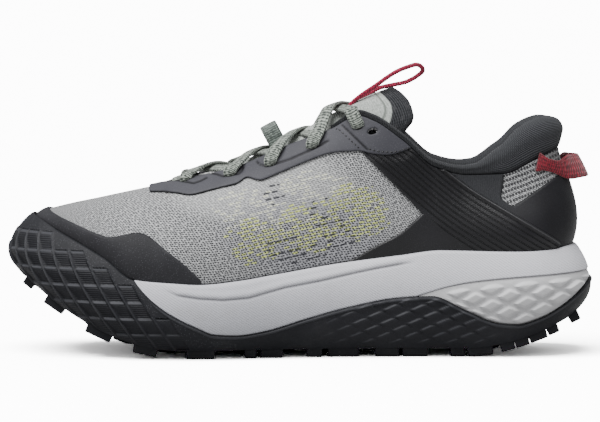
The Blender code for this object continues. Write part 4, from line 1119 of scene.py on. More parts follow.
bm = bmesh.new()
for low, high in EDGE_LUGS:
    along, length = 0.5 - (low + high) / 2000 / LENGTH, (high - low) / 1000
    reach = half_width(along) - BOTTOM_TUCK - 0.0012
    width = min(0.020, reach * 0.9)
    for side in (-1, 1):
        tread_block(bm, x_of(along), centre_y(along) + side * (reach - width / 2), 0.0, width, length, 0.0004)
for row, along in enumerate(LUG_ROWS):
    reach = half_width(along) - BOTTOM_TUCK - 0.0015
    count = max(2, int(round(2 * reach / LUG_PITCH)))
    width = 2 * reach / count - 0.0045
    for i in range(1, count - 1):
        y = centre_y(along) - reach + (i + 0.5) * 2 * reach / count
        angle = LUG_TURN * (1 if (row + i) % 2 else -1)
        tread_block(bm, x_of(along) + LUG_STAGGER, y, angle, width * 0.85)
finish_piece(bm, "tread_blocks", RUBBER, ("outsole",), "charcoal_rubber")

# %% [markdown]
# The foam and the heel carrier are closed bands round the shoe between two lines drawn in the side view. The
# foam has a bead and a groove that run along its side; the carrier swells into rows of soft pillows.

# %% Foam midsole and heel carrier
BEAD_LINE = {
    "x": (-0.070, -0.062, -0.051, -0.0387, -0.0257, -0.0076, 0.0105, 0.0286, 0.0394, 0.052, 0.062),
    "z": (0.0365, 0.0330, 0.0313, 0.0305, 0.0314, 0.0362, 0.0394, 0.0434, 0.0456, 0.0478, 0.0492),
}
BEAD_DEPTH = 0.0007


def bead_relief(points, low_z, high_z):
    """A step that stands out above the line and a narrow groove along it."""
    x, z = points[:, 0], points[:, 2]
    line = np.interp(x, BEAD_LINE["x"], BEAD_LINE["z"])
    there = ramp(x, -0.070, -0.058) * (1 - ramp(x, 0.048, 0.060))
    above = z - line
    groove = np.exp(-((above / 0.00065) ** 2))
    shelf = np.exp(-(((above - 0.0022) / 0.0016) ** 2))
    # The second value marks the groove, which the foam finish paints darker as painted shade.
    return there * (shelf * 0.0005 - groove * BEAD_DEPTH), there * groove


def pillow_relief(points, low_z, high_z):
    x, z = points[:, 0], points[:, 2]
    t, c = facets(x, z, 30, 22, (0.0072, 0.0082))
    area = ramp(z, low_z + 0.0005, low_z + 0.002) * (1 - ramp(z, high_z - 0.0045, high_z - 0.002))
    area *= ramp(x, 0.072, 0.080)
    pod = ramp(edge_near(t), 0.07, 0.30) * ramp(edge_near(c), 0.06, 0.24)
    swell = pod * (0.35 + 0.85 * t)
    # The second value marks the gaps between pillows, which the foam finish paints darker as painted shade.
    return area * swell * 0.0021, area * (1 - np.minimum(pod * 3.0, 1.0)) * 0.22


def band(name, finish, rows, low_of, high_of, front, columns, node, slot, relief):
    """A closed band round the heel, from one side to the other, between two shares of the wall."""
    bm, u, w = grid(columns, len(rows) - 1, (PERIMETER * 2 * front, 0.06))
    turn = np.mod(u * 2 * front - front, 1.0)
    high = high_of(turn)
    low = np.minimum(low_of(turn), high)
    share, inset, lift, outside = rail(rows, w)
    points = wall_point(turn, low + share * (high - low), inset)
    points[:, 2] += lift
    low_z, high_z = wall_point(turn, low)[:, 2], wall_point(turn, high)[:, 2]
    height, groove = relief(points, low_z, high_z)
    points[:, :2] += outward(turn) * (height * outside)[:, None]
    place_points(bm, points)
    # The groove mark carries painted shade for the foam finish.
    store(bm, "groove", groove * outside)
    close_up(bm)
    finish_piece(bm, name, finish, (node,), slot)


def carrier_share(turn):
    return np.maximum(wall_share(turn, carrier_edge["top"]), rubber_share(turn))


def foam_low(turn):
    return np.where(along_of(turn) < CARRIER_EDGE["along"][-1], carrier_share(turn), rubber_share(turn))


FOAM_ROWS = (
    # share of the band's height, inset, lift, outside
    [(0.0, 0.0060, 0.0, 0.0), (0.0, 0.0025, 0.0, 0.0), (0.0, 0.0011, 0.0, 0.0), (0.012, 0.0006, 0.0, 0.0)]
    + [(0.03 + 0.90 * i / 44, 0.0004, 0.0, 1.0) for i in range(45)]
    + [(0.965, 0.0006, 0.0, 0.0), (0.985, 0.0010, 0.0, 0.0), (1.0, 0.0017, 0.0001, 0.0)]
    + [(1.0, 0.0025, 0.0, 0.0), (1.0, 0.0030, -0.0008, 0.0), (1.0, 0.0031, -0.004, 0.0)]
    + [(1.0, 0.0038, -0.010, 0.0), (0.0, 0.0060, 0.0, 0.0)]
)
band("midsole_foam", FOAM, FOAM_ROWS, foam_low, lambda turn: np.ones(len(turn)), turn_of(0.7825, -1), 560,
     "midsole", "pale_grey_foam", bead_relief)
CARRIER_ROWS = (
    [(0.0, 0.0060, 0.0, 0.0), (0.0, 0.0030, 0.0, 0.0), (0.0, 0.0016, 0.0, 0.0), (0.02, 0.0013, 0.0, 0.0)]
    + [(0.05 + 0.88 * i / 44, 0.0011, 0.0, 1.0) for i in range(45)]
    + [(0.97, 0.0014, 0.0, 0.0), (1.0, 0.0022, 0.0, 0.0), (1.0, 0.0060, 0.0, 0.0), (0.0, 0.0060, 0.0, 0.0)]
)
band("heel_carrier_foam", CARRIER, CARRIER_ROWS, rubber_share, carrier_share, turn_of(0.298, -1), 440,
     "heel_carrier", "warm_grey_foam", pillow_relief)


# %% [markdown]
# ## Upper
# The upper is one knitted mesh wall pulled over the last. Panels of welded film are laid on it. Each panel
# is the same surface again, trimmed along its own outline: every point knows how far it lies inside the
# outline, edges are added where that distance passes a few levels, and what lies outside is deleted. The
# levels near the rim let the film round over at its edge.


# %% Outlines in the side view
CURVE_STEPS = 8
EYE_SIDE = 0.045


def closed_curve(points, steps=CURVE_STEPS):
    """A smooth closed line through points; a point that turns sharply keeps its corner."""
    points = np.array(points, float)
    before, after = np.roll(points, 1, axis=0), np.roll(points, -1, axis=0)
    a, b = points - before, after - points
    bend = np.sum(a * b, axis=1) / (np.linalg.norm(a, axis=1) * np.linalg.norm(b, axis=1))
    soft = np.clip(bend * 1.6 - 0.4, 0, 1)[:, None]
    shorter = np.minimum(np.linalg.norm(a, axis=1), np.linalg.norm(b, axis=1))[:, None]
    tangent = (a + b) / np.linalg.norm(a + b, axis=1)[:, None] * shorter * soft
    t = np.linspace(0, 1, steps, endpoint=False)[None, :, None]
    arriving = np.roll(tangent, -1, axis=0)
    return hermite(points[:, None], tangent[:, None], after[:, None], arriving[:, None], t).reshape(-1, 2)


def side_line(outline_points):
    """Outline given along the shoe and in shares of the instep's height, as x and z in metres."""
    return closed_curve([(x_of(a), INSTEP_HEIGHT * h) for a, h in outline_points])


def distance_to(line, x, z, closed=True):
    """Distance from each point to a line of short segments."""
    ends = np.roll(line, -1, axis=0) if closed else line[1:]
    starts = line if closed else line[:-1]
    best = np.full(len(x), 1e9)
    for (ax, az), (bx, bz) in zip(starts, ends):
        run = max((bx - ax) ** 2 + (bz - az) ** 2, 1e-18)
        t = np.clip(((x - ax) * (bx - ax) + (z - az) * (bz - az)) / run, 0, 1)
        best = np.minimum(best, (x - ax - t * (bx - ax)) ** 2 + (z - az - t * (bz - az)) ** 2)
    return np.sqrt(best)


def inside(line, x, z):
    odd = np.zeros(len(x), bool)
    for (ax, az), (bx, bz) in zip(line, np.roll(line, -1, axis=0)):
        crosses = (az > z) != (bz > z)
        at = ax + (z - az) * (bx - ax) / np.where(abs(bz - az) < 1e-12, 1e-12, bz - az)
        odd ^= crosses & (x < at)
    return odd


def depth_inside(line, points):
    x, z = points[:, 0], points[:, 2]
    return distance_to(line, x, z) * np.where(inside(line, x, z), 1.0, -1.0)


def seen_height(points):
    """Height at which a point stands in the side view, which looks down a little; both sides alike."""
    middle = ridge_y(place_of(points[:, 0]))
    near = middle - abs(points[:, 1] - middle)
    return points[:, 2] + (near + EYE_SIDE) * math.sin(VIEW_TILT)


def beside_lines(lines, points):
    """Distance from points to the nearest of some lines given in millimetres in the side view."""
    x, height = points[:, 0], seen_height(points)
    return np.min([distance_to(np.array(line) / 1000.0, x, height, False) for line in lines], axis=0)


# %% Trimming a draped grid
def cut_at(bm, layer, level, snap=8e-5):
    """Adds edges where the value kept in a vertex layer passes a level."""
    touching = []
    for vert in bm.verts:
        if abs(vert[layer] - level) < snap:
            vert[layer] = level
            touching.append(vert)
    crossing = [e for e in bm.edges if (e.verts[0][layer] - level) * (e.verts[1][layer] - level) < 0]
    for edge in crossing:
        a, b = edge.verts
        share = (level - a[layer]) / (b[layer] - a[layer])
        _, vert = bmesh.utils.edge_split(edge, a, share)
        vert[layer] = level
        touching.append(vert)
    bmesh.ops.connect_verts(bm, verts=touching)


UPPER_GIRTH = 0.085
# Where each eyelet stands in the side view, in metres.
EYELET_PLACES = ((-0.0578, 0.0908), (-0.0352, 0.0937), (-0.0144, 0.0995), (0.0067, 0.1085), (0.0295, 0.1188),
                 (0.0369, 0.1158))


def on_upper(x, height, side):
    """The point at which the upper's surface passes a place in the side view, and its normal there."""
    turn, share = float(turn_of(place_of(x), side)), 0.85
    nudge = np.array([1e-4, 1e-3])
    for _ in range(14):
        p = upper_point(np.array([turn, turn + nudge[0], turn]), np.array([share, share, share + nudge[1]]))
        seen = np.stack((p[:, 0], seen_height(p)))
        slope = (seen[:, 1:] - seen[:, :1]) / nudge
        move = np.linalg.solve(slope, seen[:, 0] - (x, height))
        turn -= float(np.clip(move[0], -0.01, 0.01))
        share = float(np.clip(share - np.clip(move[1], -0.1, 0.1), 0.05, 0.97))
    return upper_point(turn, share)[0], upper_normal(turn, share)[0]


EYELET_SEATS = {(along, side): on_upper(*place, side)
                for along, place in zip((*EYELETS, SPARE_EYELET), EYELET_PLACES) for side in (-1, 1)}
SPARE_AXIS = np.array([0.93, 0.0, 0.37])


def eyelet_distance(points, radius=EYELET_RADIUS):
    """Distance outside the nearest eyelet's rim."""
    best = np.full(len(points), 1e9)
    for (along, _), (centre, normal) in EYELET_SEATS.items():
        offset = points - centre
        flat = offset - np.outer(offset @ normal, normal)
        reach = np.linalg.norm(flat, axis=1)
        if along == SPARE_EYELET:
            axis = SPARE_AXIS - normal * (SPARE_AXIS @ normal)
            axis /= np.linalg.norm(axis)
            a = flat @ axis
            reach = np.sqrt((a / 1.12) ** 2 + np.maximum(reach**2 - a**2, 0) / 0.68**2)
        best = np.minimum(best, reach + 10 * np.maximum(abs(offset @ normal) - 0.006, 0))
    return best - radius


def trimmed_sheet(name, finish, turns, shares, columns, rows, field, height, thickness, node, slot,
                  levels=(0.0, 0.0003, 0.0008), attributes=None, crease=None):
    """A sheet on the upper, trimmed where field(points) is negative, and lifted by height(points, depth).

    crease is a distance from points to some lines and the levels at which edges follow those lines.
    """
    across, upward = turns[1] - turns[0], shares[1] - shares[0]
    bm, u, w = grid(columns, rows, (PERIMETER * across, UPPER_GIRTH * upward))
    turn, share = turns[0] + u * across, shares[0] + w * upward
    values = {"turn": turn, "share": share, "depth": field(upper_point(turn, share))}
    for label in values:
        bm.verts.layers.float.new(label)
    kept = [bm.verts.layers.float[label] for label in values]
    for vert, *row in zip(bm.verts, *values.values()):
        for layer, value in zip(kept, row):
            vert[layer] = value
    bmesh.ops.delete(bm, geom=[v for v in bm.verts if v[kept[2]] < -0.004], context="VERTS")
    for level in levels:
        cut_at(bm, kept[2], level)
    bmesh.ops.delete(bm, geom=[v for v in bm.verts if v[kept[2]] < -1e-7], context="VERTS")
    if crease:
        at = np.array([(v[kept[0]], v[kept[1]]) for v in bm.verts])
        crease_layer = store(bm, "crease", crease[0](upper_point(at[:, 0], at[:, 1])))
        for level in crease[1]:
            cut_at(bm, crease_layer, level)
    turn, share, depth = (np.array([v[bm.verts.layers.float[label]] for v in bm.verts]) for label in values)
    base, normal = upper_point(turn, share), upper_normal(turn, share)
    lifted = base + normal * height(base, depth)[:, None]
    place_points(bm, lifted)
    for label, read in (attributes or {}).items():
        store(bm, label, read(base, depth))
    bmesh.ops.remove_doubles(bm, verts=bm.verts, dist=2e-5)
    bmesh.ops.dissolve_degenerate(bm, edges=bm.edges, dist=1e-6)
    bmesh.ops.delete(bm, geom=[v for v in bm.verts if not v.link_faces], context="VERTS")
    bm.normal_update()
    sample = max(bm.faces, key=lambda f: f.calc_area())
    i = int(np.argmin(np.sum((lifted - np.array(sample.calc_center_median())) ** 2, axis=1)))
    if sample.normal @ Vector(normal[i]) < 0:
        bmesh.ops.reverse_faces(bm, faces=bm.faces)
    piece = finish_piece(bm, name, finish, (node,), slot)
    wall_modifier = piece.modifiers.new("Wall", "SOLIDIFY")
    wall_modifier.thickness = thickness
    wall_modifier.offset = -1.0
    wall_modifier.use_rim = True


# %% Knitted wall of the upper
def whole_upper(points):
    return np.minimum(eyelet_distance(points, EYELET_RADIUS * 0.94), 0.01)


trimmed_sheet("upper_mesh", MESH, (0.0, 1.0), (0.0, 1.0), 640, 64, whole_upper, lambda p, d: np.zeros(len(d)),
              UPPER_WALL * 0.9, "upper", "grey_mesh", levels=(0.0,))

# %% Film panels
TOE_CAP_OUTLINE = (
    (1.02, 0.640), (0.965, 0.640), (0.942, 0.602), (0.928, 0.582), (0.908, 0.562), (0.884, 0.541),
    (0.853, 0.512), (0.829, 0.494), (0.812, 0.494), (0.796, 0.502), (0.779, 0.509), (0.764, 0.506),
    (0.750, 0.488), (0.725, 0.442), (0.700, 0.396), (0.680, 0.352), (0.668, 0.320), (0.664, 0.250),
    (0.900, 0.200), (1.02, 0.300),
)
EYESTAY_OUTLINE = (
    (0.757, 0.760), (0.757, 0.660), (0.715, 0.664), (0.684, 0.658), (0.643, 0.682), (0.606, 0.704),
    (0.590, 0.728), (0.566, 0.718), (0.538, 0.744), (0.455, 0.824), (0.399, 0.838), (0.378, 0.827),
    (0.350, 0.822), (0.326, 0.835), (0.308, 0.854), (0.330, 1.100), (0.600, 1.100),
)
STRAP_OUTLINE = (
    (0.3955, 0.835), (0.395, 0.865), (0.350, 0.850), (0.328, 0.860), (0.303, 0.905), (0.290, 0.843),
    (0.207, 0.680), (0.097, 0.524), (0.058, 0.460), (0.060, 0.330), (0.222, 0.330), (0.238, 0.456),
    (0.292, 0.584),
)
UNDERLAY_OUTLINE = (
    (0.434, 0.378), (0.407, 0.406), (0.369, 0.458), (0.328, 0.510), (0.288, 0.596), (0.252, 0.560),
    (0.205, 0.450), (0.200, 0.260), (0.434, 0.260),
)
COUNTER_OUTLINE = (
    (0.300, 0.790), (0.240, 0.685), (0.130, 0.525), (0.088, 0.456), (0.088, 0.260), (-0.03, 0.260),
    (-0.03, 0.765), (0.020, 0.750), (0.063, 0.728), (0.136, 0.615), (0.150, 0.626), (0.158, 0.650),
    (0.154, 0.720), (0.150, 0.900), (0.312, 1.000),
)


def film_height(thickness):
    def height(points, depth):
        return GAP + thickness * (0.25 + 0.75 * ramp(depth, 0.0, 0.0009))
    return height


def panel(name, finish, outline_points, turns, columns, rows, thickness, node, slot="graphite_film",
          punched=False, shares=(0.0, 1.0), height=None, **more):
    line = side_line(outline_points)

    def field(points):
        depth = depth_inside(line, points)
        return np.minimum(depth, eyelet_distance(points)) if punched else depth

    trimmed_sheet(name, finish, turns, shares, columns, rows, field, height or film_height(thickness),
                  thickness, node, slot, **more)


def both_sides(low, high):
    return {"lateral": (turn_of(low, -1), turn_of(high, -1)), "medial": (turn_of(high, 1), turn_of(low, 1))}


def round_toe(along):
    return turn_of(along, -1), turn_of(along, 1)


panel("toe_cap_film", TOE_FILM, TOE_CAP_OUTLINE, round_toe(0.66), 260, 60, PANEL_THICKNESS, "toe_cap")
# Lines pressed into the eyestay and the seams of its rear patch, in millimetres in the side view.
PRESSED_LINES = (
    ((-70.8, 90.3), (-62.9, 90.3), (-54.2, 88.7), (-50.5, 89.9), (-47.3, 91.6)),
    ((-45.5, 93.9), (-41.9, 93.2), (-39.0, 92.3), (-35.5, 92.9), (-31.0, 93.6), (-29.4, 95.0), (-28.5, 96.8)),
    ((-22.0, 100.1), (-20.3, 98.5), (-17.3, 97.7), (-14.0, 98.3), (-5.0, 101.1), (5.0, 105.6), (14.5, 110.6)),
    ((22.0, 118.4), (34.4, 106.3)),
)
SEAM_LINE = ((34.4, 105.9), (40.0, 104.4), (46.4, 104.1), (51.5, 105.0), (57.2, 107.7))
STITCH_LINE = ((18.2, 118.4), (30.6, 106.6))


def eyestay_height(points, depth):
    groove = np.exp(-((beside_lines(PRESSED_LINES, points) / 0.00060) ** 2))
    return GAP + PANEL_THICKNESS * (0.65 + 0.35 * ramp(depth, 0.0, 0.0006)) - groove * 0.00040


# Mark for painted shade in the pressed lines, and for a painted shadow line along the film's edge; the slate
# finish paints both near-black.
def eyestay_line_and_edge_shade(points, depth):
    line = 1 - ramp(beside_lines(PRESSED_LINES, points), 0.00040, 0.00075)
    return np.maximum(line, 0.9 * (1 - ramp(depth, 0.00010, 0.00040)))


panel("eyestay_film", SLATE, EYESTAY_OUTLINE, round_toe(0.29), 460, 50, PANEL_THICKNESS, "eyestay",
      "slate_film", punched=True, shares=(0.45, 1.0), height=eyestay_height,
      attributes={"pressed_and_edge_shade": eyestay_line_and_edge_shade},
      crease=(lambda points: beside_lines(PRESSED_LINES, points), (0.0003, 0.00065, 0.0011)))

# The saddle's upper edge carries a piping; ribs run beside it. Its top tapers away under the eyestay.
SADDLE_LINE = side_line(STRAP_OUTLINE)
SADDLE_EDGE = SADDLE_LINE[5 * CURVE_STEPS:8 * CURVE_STEPS + 1]
SADDLE_EDGE = np.vstack((SADDLE_EDGE[0] + (SADDLE_EDGE[0] - SADDLE_EDGE[CURVE_STEPS]) * 1.6, SADDLE_EDGE))
SADDLE_TOP = SADDLE_LINE[:3 * CURVE_STEPS + 1]
PIPING_RADIUS = 0.0009


def from_edge(points, depth=None):
    return distance_to(SADDLE_EDGE, points[:, 0], points[:, 2], False)


def saddle_height(points, depth):
    piping = np.sqrt(np.clip(1 - ((from_edge(points) - PIPING_RADIUS) / PIPING_RADIUS) ** 2, 0, 1))
    thin = 0.28 + 0.72 * ramp(distance_to(SADDLE_TOP, points[:, 0], points[:, 2], False), 0.0030, 0.0090)
    rim = 0.80 + 0.20 * ramp(depth, 0.0, 0.0009)
    return GAP + (STRAP_THICKNESS * rim + piping * 0.0007 - 0.0002) * thin


def rib_reach(points, depth):
    edge = from_edge(points)
    return ramp(edge, 0.0020, 0.0026) * (1 - ramp(edge, 0.0240, 0.0275)) * ramp(depth, 0.0006, 0.0020)


def piping_thread(points, depth):
    return (1 - ramp(abs(from_edge(points) - PIPING_RADIUS), 0.0, 0.0003)) * ramp(points[:, 0], 0.066, 0.080)


for side, turns in both_sides(0.04, 0.42).items():
    panel(f"saddle_film_{side}", FILM, STRAP_OUTLINE, turns, 200, 90, STRAP_THICKNESS, f"strap_{side}",
          height=saddle_height, crease=(from_edge, (0.0003, 0.0009, 0.0015, 0.0019)),
          attributes={"rib": from_edge, "rib_reach": rib_reach, "thread": piping_thread})
for side, turns in both_sides(0.18, 0.45).items():
    panel(f"foxing_film_{side}", FILM, UNDERLAY_OUTLINE, turns, 90, 50, PANEL_THICKNESS, f"underlay_{side}",
          shares=(0.0, 0.5))
panel("counter_film", COUNTER_FILM, COUNTER_OUTLINE, (-turn_of(0.32, -1), turn_of(0.32, -1)), 300, 70,
      PANEL_THICKNESS, "heel_counter")


# %% Stitches
def stitch_row(name, line, pitch, length, radius, lift):
    """A row of short threads lying on the surface along a line given in millimetres in the side view."""
    line = np.array(line) / 1000
    reach = walked(line)
    bm = bmesh.new()
    for side in (-1, 1):
        for at in np.arange(pitch / 2, reach[-1], pitch):
            ends = []
            for place in (at - length / 2, at + length / 2):
                point, normal = on_upper(*(float(np.interp(place, reach, column)) for column in line.T), side)
                ends.append(point + normal * lift)
            made = bmesh.ops.create_uvsphere(bm, u_segments=7, v_segments=5, radius=1.0)["verts"]
            run = Vector(ends[1] - ends[0])
            spin = run.to_track_quat("Z", "Y").to_matrix().to_4x4()
            size = Matrix.Diagonal((radius, radius, run.length / 2, 1.0))
            move = Matrix.Translation((ends[0] + ends[1]) / 2)
            bmesh.ops.transform(bm, matrix=move @ spin @ size, verts=made)
    finish_piece(bm, name, THREAD)


PANEL_TOP = GAP + PANEL_THICKNESS
stitch_row("patch_front_stitches", STITCH_LINE, 0.0021, 0.0013, 0.00032, PANEL_TOP)
stitch_row("patch_seam_stitches", [(x, z + 1.0) for x, z in SEAM_LINE], 0.0022, 0.0014, 0.00034, PANEL_TOP)

# %% [markdown]
# ## Padded pieces
# The collar is a padded roll that sits on the upper's rim and hangs inside it. Its section changes from a
# tall pillow at the heel to a thin lip at the throat, so it is drawn as a row of sections that a closed
# smooth curve rounds off.


# %% Padded collar
def round_loops(sections, steps):
    """Closed smooth curves through each section's points."""
    count = sections.shape[1]
    at = np.arange(steps) / steps * count
    i = np.floor(at).astype(int)
    t = (at - i)[None, :, None]
    p = [sections[:, (i + k) % count] for k in (-1, 0, 1, 2)]
    return 0.5 * (2 * p[1] + (p[2] - p[0]) * t + (2 * p[0] - 5 * p[1] + 4 * p[2] - p[3]) * t**2
                  + (3 * p[1] - p[0] - 3 * p[2] + p[3]) * t**3)


def collar_sections(turn):
    along = along_of(turn)
    _, _, second, top = column_handles(turn)
    nearby = column_handles(turn + TURN_STEP)[3] - column_handles(turn - TURN_STEP)[3]
    flat = unit(np.column_stack((nearby[:, 1], -nearby[:, 0], np.zeros(len(turn)))))
    level = pointing(flat, np.column_stack((outward(turn), np.zeros(len(turn)))))
    upright = collar["upright"](along)[:, None]
    up = unit(unit(top - second) * (1 - upright) + UP * upright)
    out = unit(level - up * np.sum(level * up, axis=1)[:, None])
    height = COLLAR_HEIGHT * collar["height"](along)[:, None]
    depth = COLLAR_DEPTH * collar["depth"](along)[:, None]
    facing = np.sum(out * upper_normal(turn, np.ones(len(turn))), axis=1)[:, None]
    inside_wall = UPPER_WALL / np.maximum(facing, 0.5) + 3 * GAP
    lining = inside_wall + 0.0006 + 8 * depth**2 * (1 - upright)
    thickness = np.maximum(COLLAR_THICKNESS * collar["thickness"](along)[:, None], (lining + 0.0014) / 0.72)
    seat = top + up * GAP
    points = [seat]
    for side_share, rise in COLLAR_SECTION:
        points.append(seat + out * side_share * thickness + up * rise * (height if rise > 0 else depth))
    points.append(seat - out * lining - up * depth)
    points.append(seat - out * inside_wall)
    return np.stack(points, axis=1)


COLLAR_STEPS = 60
COLLAR_COLUMNS = 300
bm, u, w = grid(COLLAR_COLUMNS, COLLAR_STEPS, (0.30, 0.09))
front = turn_of(COLLAR_FRONT, -1)
loops = round_loops(collar_sections(np.linspace(-front, front, COLLAR_COLUMNS + 1)), COLLAR_STEPS)
column = np.round(u * COLLAR_COLUMNS).astype(int)
row = np.round(w * COLLAR_STEPS).astype(int) % COLLAR_STEPS
place_points(bm, loops[column, row])
from_seat = np.minimum(row, COLLAR_STEPS - row)
store(bm, "seam", np.exp(-((from_seat / 1.3) ** 2)))
close_up(bm, 1e-5, fill=True)
collar_piece = finish_piece(bm, "padded_collar", KNIT, ("collar",), "charcoal_knit")


# %% Padded tongue
def tongue_frame(along):
    along = np.atleast_1d(along)

    def centre(a):
        a = np.clip(a, TONGUE["along"][-1], TONGUE["along"][0])
        return np.column_stack((x_of(a), np.zeros(len(a)), INSTEP_HEIGHT * tongue["height"](a)))

    run = unit(centre(along - 0.006) - centre(along + 0.006))
    up = np.column_stack((-run[:, 2], np.zeros(len(run)), run[:, 0]))
    middle = centre(along)
    middle[:, 1] = ridge_y(along)
    return middle, run, up


def tongue_point(along, side_share, depth):
    middle, _, up = tongue_frame(along)
    half = BALL_WIDTH * tongue["half"](along)[:, None]
    thick = TONGUE_THICKNESS * tongue["thickness"](along)[:, None]
    sag = BALL_WIDTH * tongue["sag"](along)[:, None]
    a, d = side_share[:, None], depth[:, None]
    normal = unit(up + SIDE * (2 * sag * a / half))
    return middle + SIDE * a * half - up * sag * a * a - normal * d * thick


def squared_circle(share, power_a, power_b):
    """Points round a circle; powers under one push them out toward a rounded rectangle."""
    c, s = np.cos(share * 2 * math.pi), np.sin(share * 2 * math.pi)
    return np.sign(c) * abs(c) ** power_a, np.sign(s) * abs(s) ** power_b


def tongue_section(w):
    """Across and depth shares round the tongue's section, rounded at both edges."""
    a, b = squared_circle(w, 0.9, 0.55)
    return a, 0.5 - 0.5 * b


TONGUE_COLUMNS, TONGUE_STEPS = 200, 72
PANEL_CORNER = 0.007
bm, u, w = grid(TONGUE_STEPS, TONGUE_COLUMNS, (0.10, 0.17))
TONGUE_FOOT, TONGUE_TOP = TONGUE["along"][0], TONGUE["along"][-1]
place_along = TONGUE_FOOT + (TONGUE_TOP - TONGUE_FOOT) * w
a, d = tongue_section(u)
close = np.clip(np.minimum(w, (1 - w)) / 0.006, 0, 1) ** 0.5
points = tongue_point(place_along, a, 0.5 + (d - 0.5) * close)
below_top = (place_along - TONGUE_TOP) * LENGTH
reach = 0.0064 * ramp(abs(a), 0.05, 0.75) - 0.0060 * ramp(abs(a), 0.84, 1.0)
points += tongue_frame(place_along)[1] * (reach * (1 - ramp(below_top, 0.0, 0.020)))[:, None]
place_points(bm, points)
half_here = BALL_WIDTH * tongue["half"](place_along)
from_side = half_here * (1 - abs(a)) - 0.0020
from_top = below_top - 0.0080
corner = np.hypot(np.minimum(from_side - PANEL_CORNER, 0), np.minimum(from_top - PANEL_CORNER, 0))
panel_depth = np.minimum(np.maximum(np.minimum(from_side, from_top), PANEL_CORNER), 0.02) - corner
store(bm, "panel", np.where(d < 0.75, panel_depth, -0.01))
close_up(bm, 1e-5)
tongue_piece = finish_piece(bm, "padded_tongue", TONGUE_KNIT, ("tongue",), "charcoal_knit")


# %% [markdown]
# ## Laces, webbing and cord
# A lace is a flat woven tube. Each strand comes up out of an eyelet, turns over the edge of the eyestay,
# crosses the tongue and dives under the edge on the other side. A closed flat section is swept along the
# path, with its own width at every step, so it can bunch up in the hole and spread out across the tongue.


# %% Ribbons swept along a path
def smooth_path(points, steps):
    """An even smooth curve through points."""
    points = np.array(points, float)
    reach = walked(points, 0.5)
    tangent = np.gradient(points, reach, axis=0)
    at = np.linspace(0, reach[-1], steps)
    i = np.clip(np.searchsorted(reach, at) - 1, 0, len(points) - 2)
    step = (reach[i + 1] - reach[i])[:, None]
    t = ((at - reach[i])[:, None]) / step
    return hermite(points[i], tangent[i] * step, points[i + 1], tangent[i + 1] * step, t)


def ribbon(name, finish, path, across, width, thickness, node, slot, around=16, power=0.45):
    """A closed flat band along a path; across and width may be one value or change at every step."""
    steps = len(path)
    run = unit(np.gradient(path, axis=0))
    sideways = np.broadcast_to(across, path.shape)
    sideways = unit(sideways - run * np.sum(sideways * run, axis=1)[:, None])
    lift = np.cross(run, sideways)
    length = float(walked(path)[-1])
    print(name, "length:", round(length, 4), "m")
    bm, u, w = grid(around, steps - 1, (1.0, length))
    i = np.round(w * (steps - 1)).astype(int)
    c, s = squared_circle(u, 0.8, power)
    wide, thick = np.broadcast_to(width, (steps,))[i] / 2 * c, thickness / 2 * s
    place_points(bm, path[i] + sideways[i] * wide[:, None] + lift[i] * thick[:, None])
    close_up(bm, 1e-6, fill=True)
    finish_piece(bm, name, finish, (node,), slot)


# %% Laces
LACE_WIDTH = 0.0068
LACE_THICKNESS = 0.0019
BUNCHED_WIDTH = 0.0042
LACE_BAR = 0.714
ALONG_SHOE = np.array([1.0, 0.0, 0.35])


def rim_turn(x, side):
    """Turn at which the upper's rim passes x."""
    turns = turn_of(np.linspace(0.30, 0.75, 400), side)
    places = upper_point(turns, np.ones(400))[:, 0]
    order = np.argsort(places)
    return float(np.interp(x, places[order], turns[order]))


def lace_start(along, side, inward):
    """Up through the eyelet, and over the eyestay to its edge."""
    centre, normal = EYELET_SEATS[along, side]
    lean = 0.009 if along < EYELETS[0] else 0.003
    crossing = np.array([rim_turn(centre[0] + inward[0] * lean, side)])
    top, edge_normal = upper_point(crossing, 1.0)[0], upper_normal(crossing, 0.97)[0]
    lift = GAP + PANEL_THICKNESS + LACE_THICKNESS / 2 + 0.0004
    if along < COLLAR_FRONT:
        section = collar_sections(crossing)[0]
        crest = [section[2] + (SIDE * side + UP) * (lift - GAP) * 0.75, section[4] + UP * (lift - GAP)]
    else:
        crest = [top + edge_normal * (lift + 0.0004)]
    way = crest[0] - centre
    way -= normal * (way @ normal)
    way /= np.linalg.norm(way)
    return [centre - normal * 0.0036 + way * 0.0004, centre - normal * 0.0008 - way * 0.0004,
            centre + normal * lift * 0.75 - way * 0.0002,
            centre + normal * (lift + 0.0004) + way * 0.0022, *crest]


def rim_point(along, side):
    return upper_point(turn_of(along, side), 1.0)[0]


def lace_finish(along, side, toward):
    """Under the rim on the far side."""
    return [rim_point(along, side) + toward * a + UP * b
            for a, b in ((0.0075, 0.0008), (0.0020, -0.0016), (-0.0030, -0.0036))]


def lace_strand(name, low, high, over_high, hump, node):
    start_top, end_top = rim_point(*low), rim_point(*high)
    toward = (end_top - start_top) / np.linalg.norm(end_top - start_top)
    start = lace_start(*low, toward)
    end = lace_start(*high, -toward)[::-1] if over_high else lace_finish(*high, -toward)
    a, b = start[-1], end[0]
    shares = (1.05, 0.98, 0.62) if over_high else (0.80, 1.0, 0.80)
    middle = [a + (b - a) * t + UP * (0.0014 + hump) * c for t, c in zip((0.3, 0.5, 0.7), shares)]
    path = smooth_path([*start, *middle, *end], 90)
    reach = walked(path)
    from_hole = np.minimum(reach, reach[-1] - reach) if over_high else reach
    width = BUNCHED_WIDTH + (LACE_WIDTH - BUNCHED_WIDTH) * ramp(from_hole, 0.0028, 0.0052)
    ribbon(name, LACE, path, ALONG_SHOE, width, LACE_THICKNESS, node, "heather_lace")


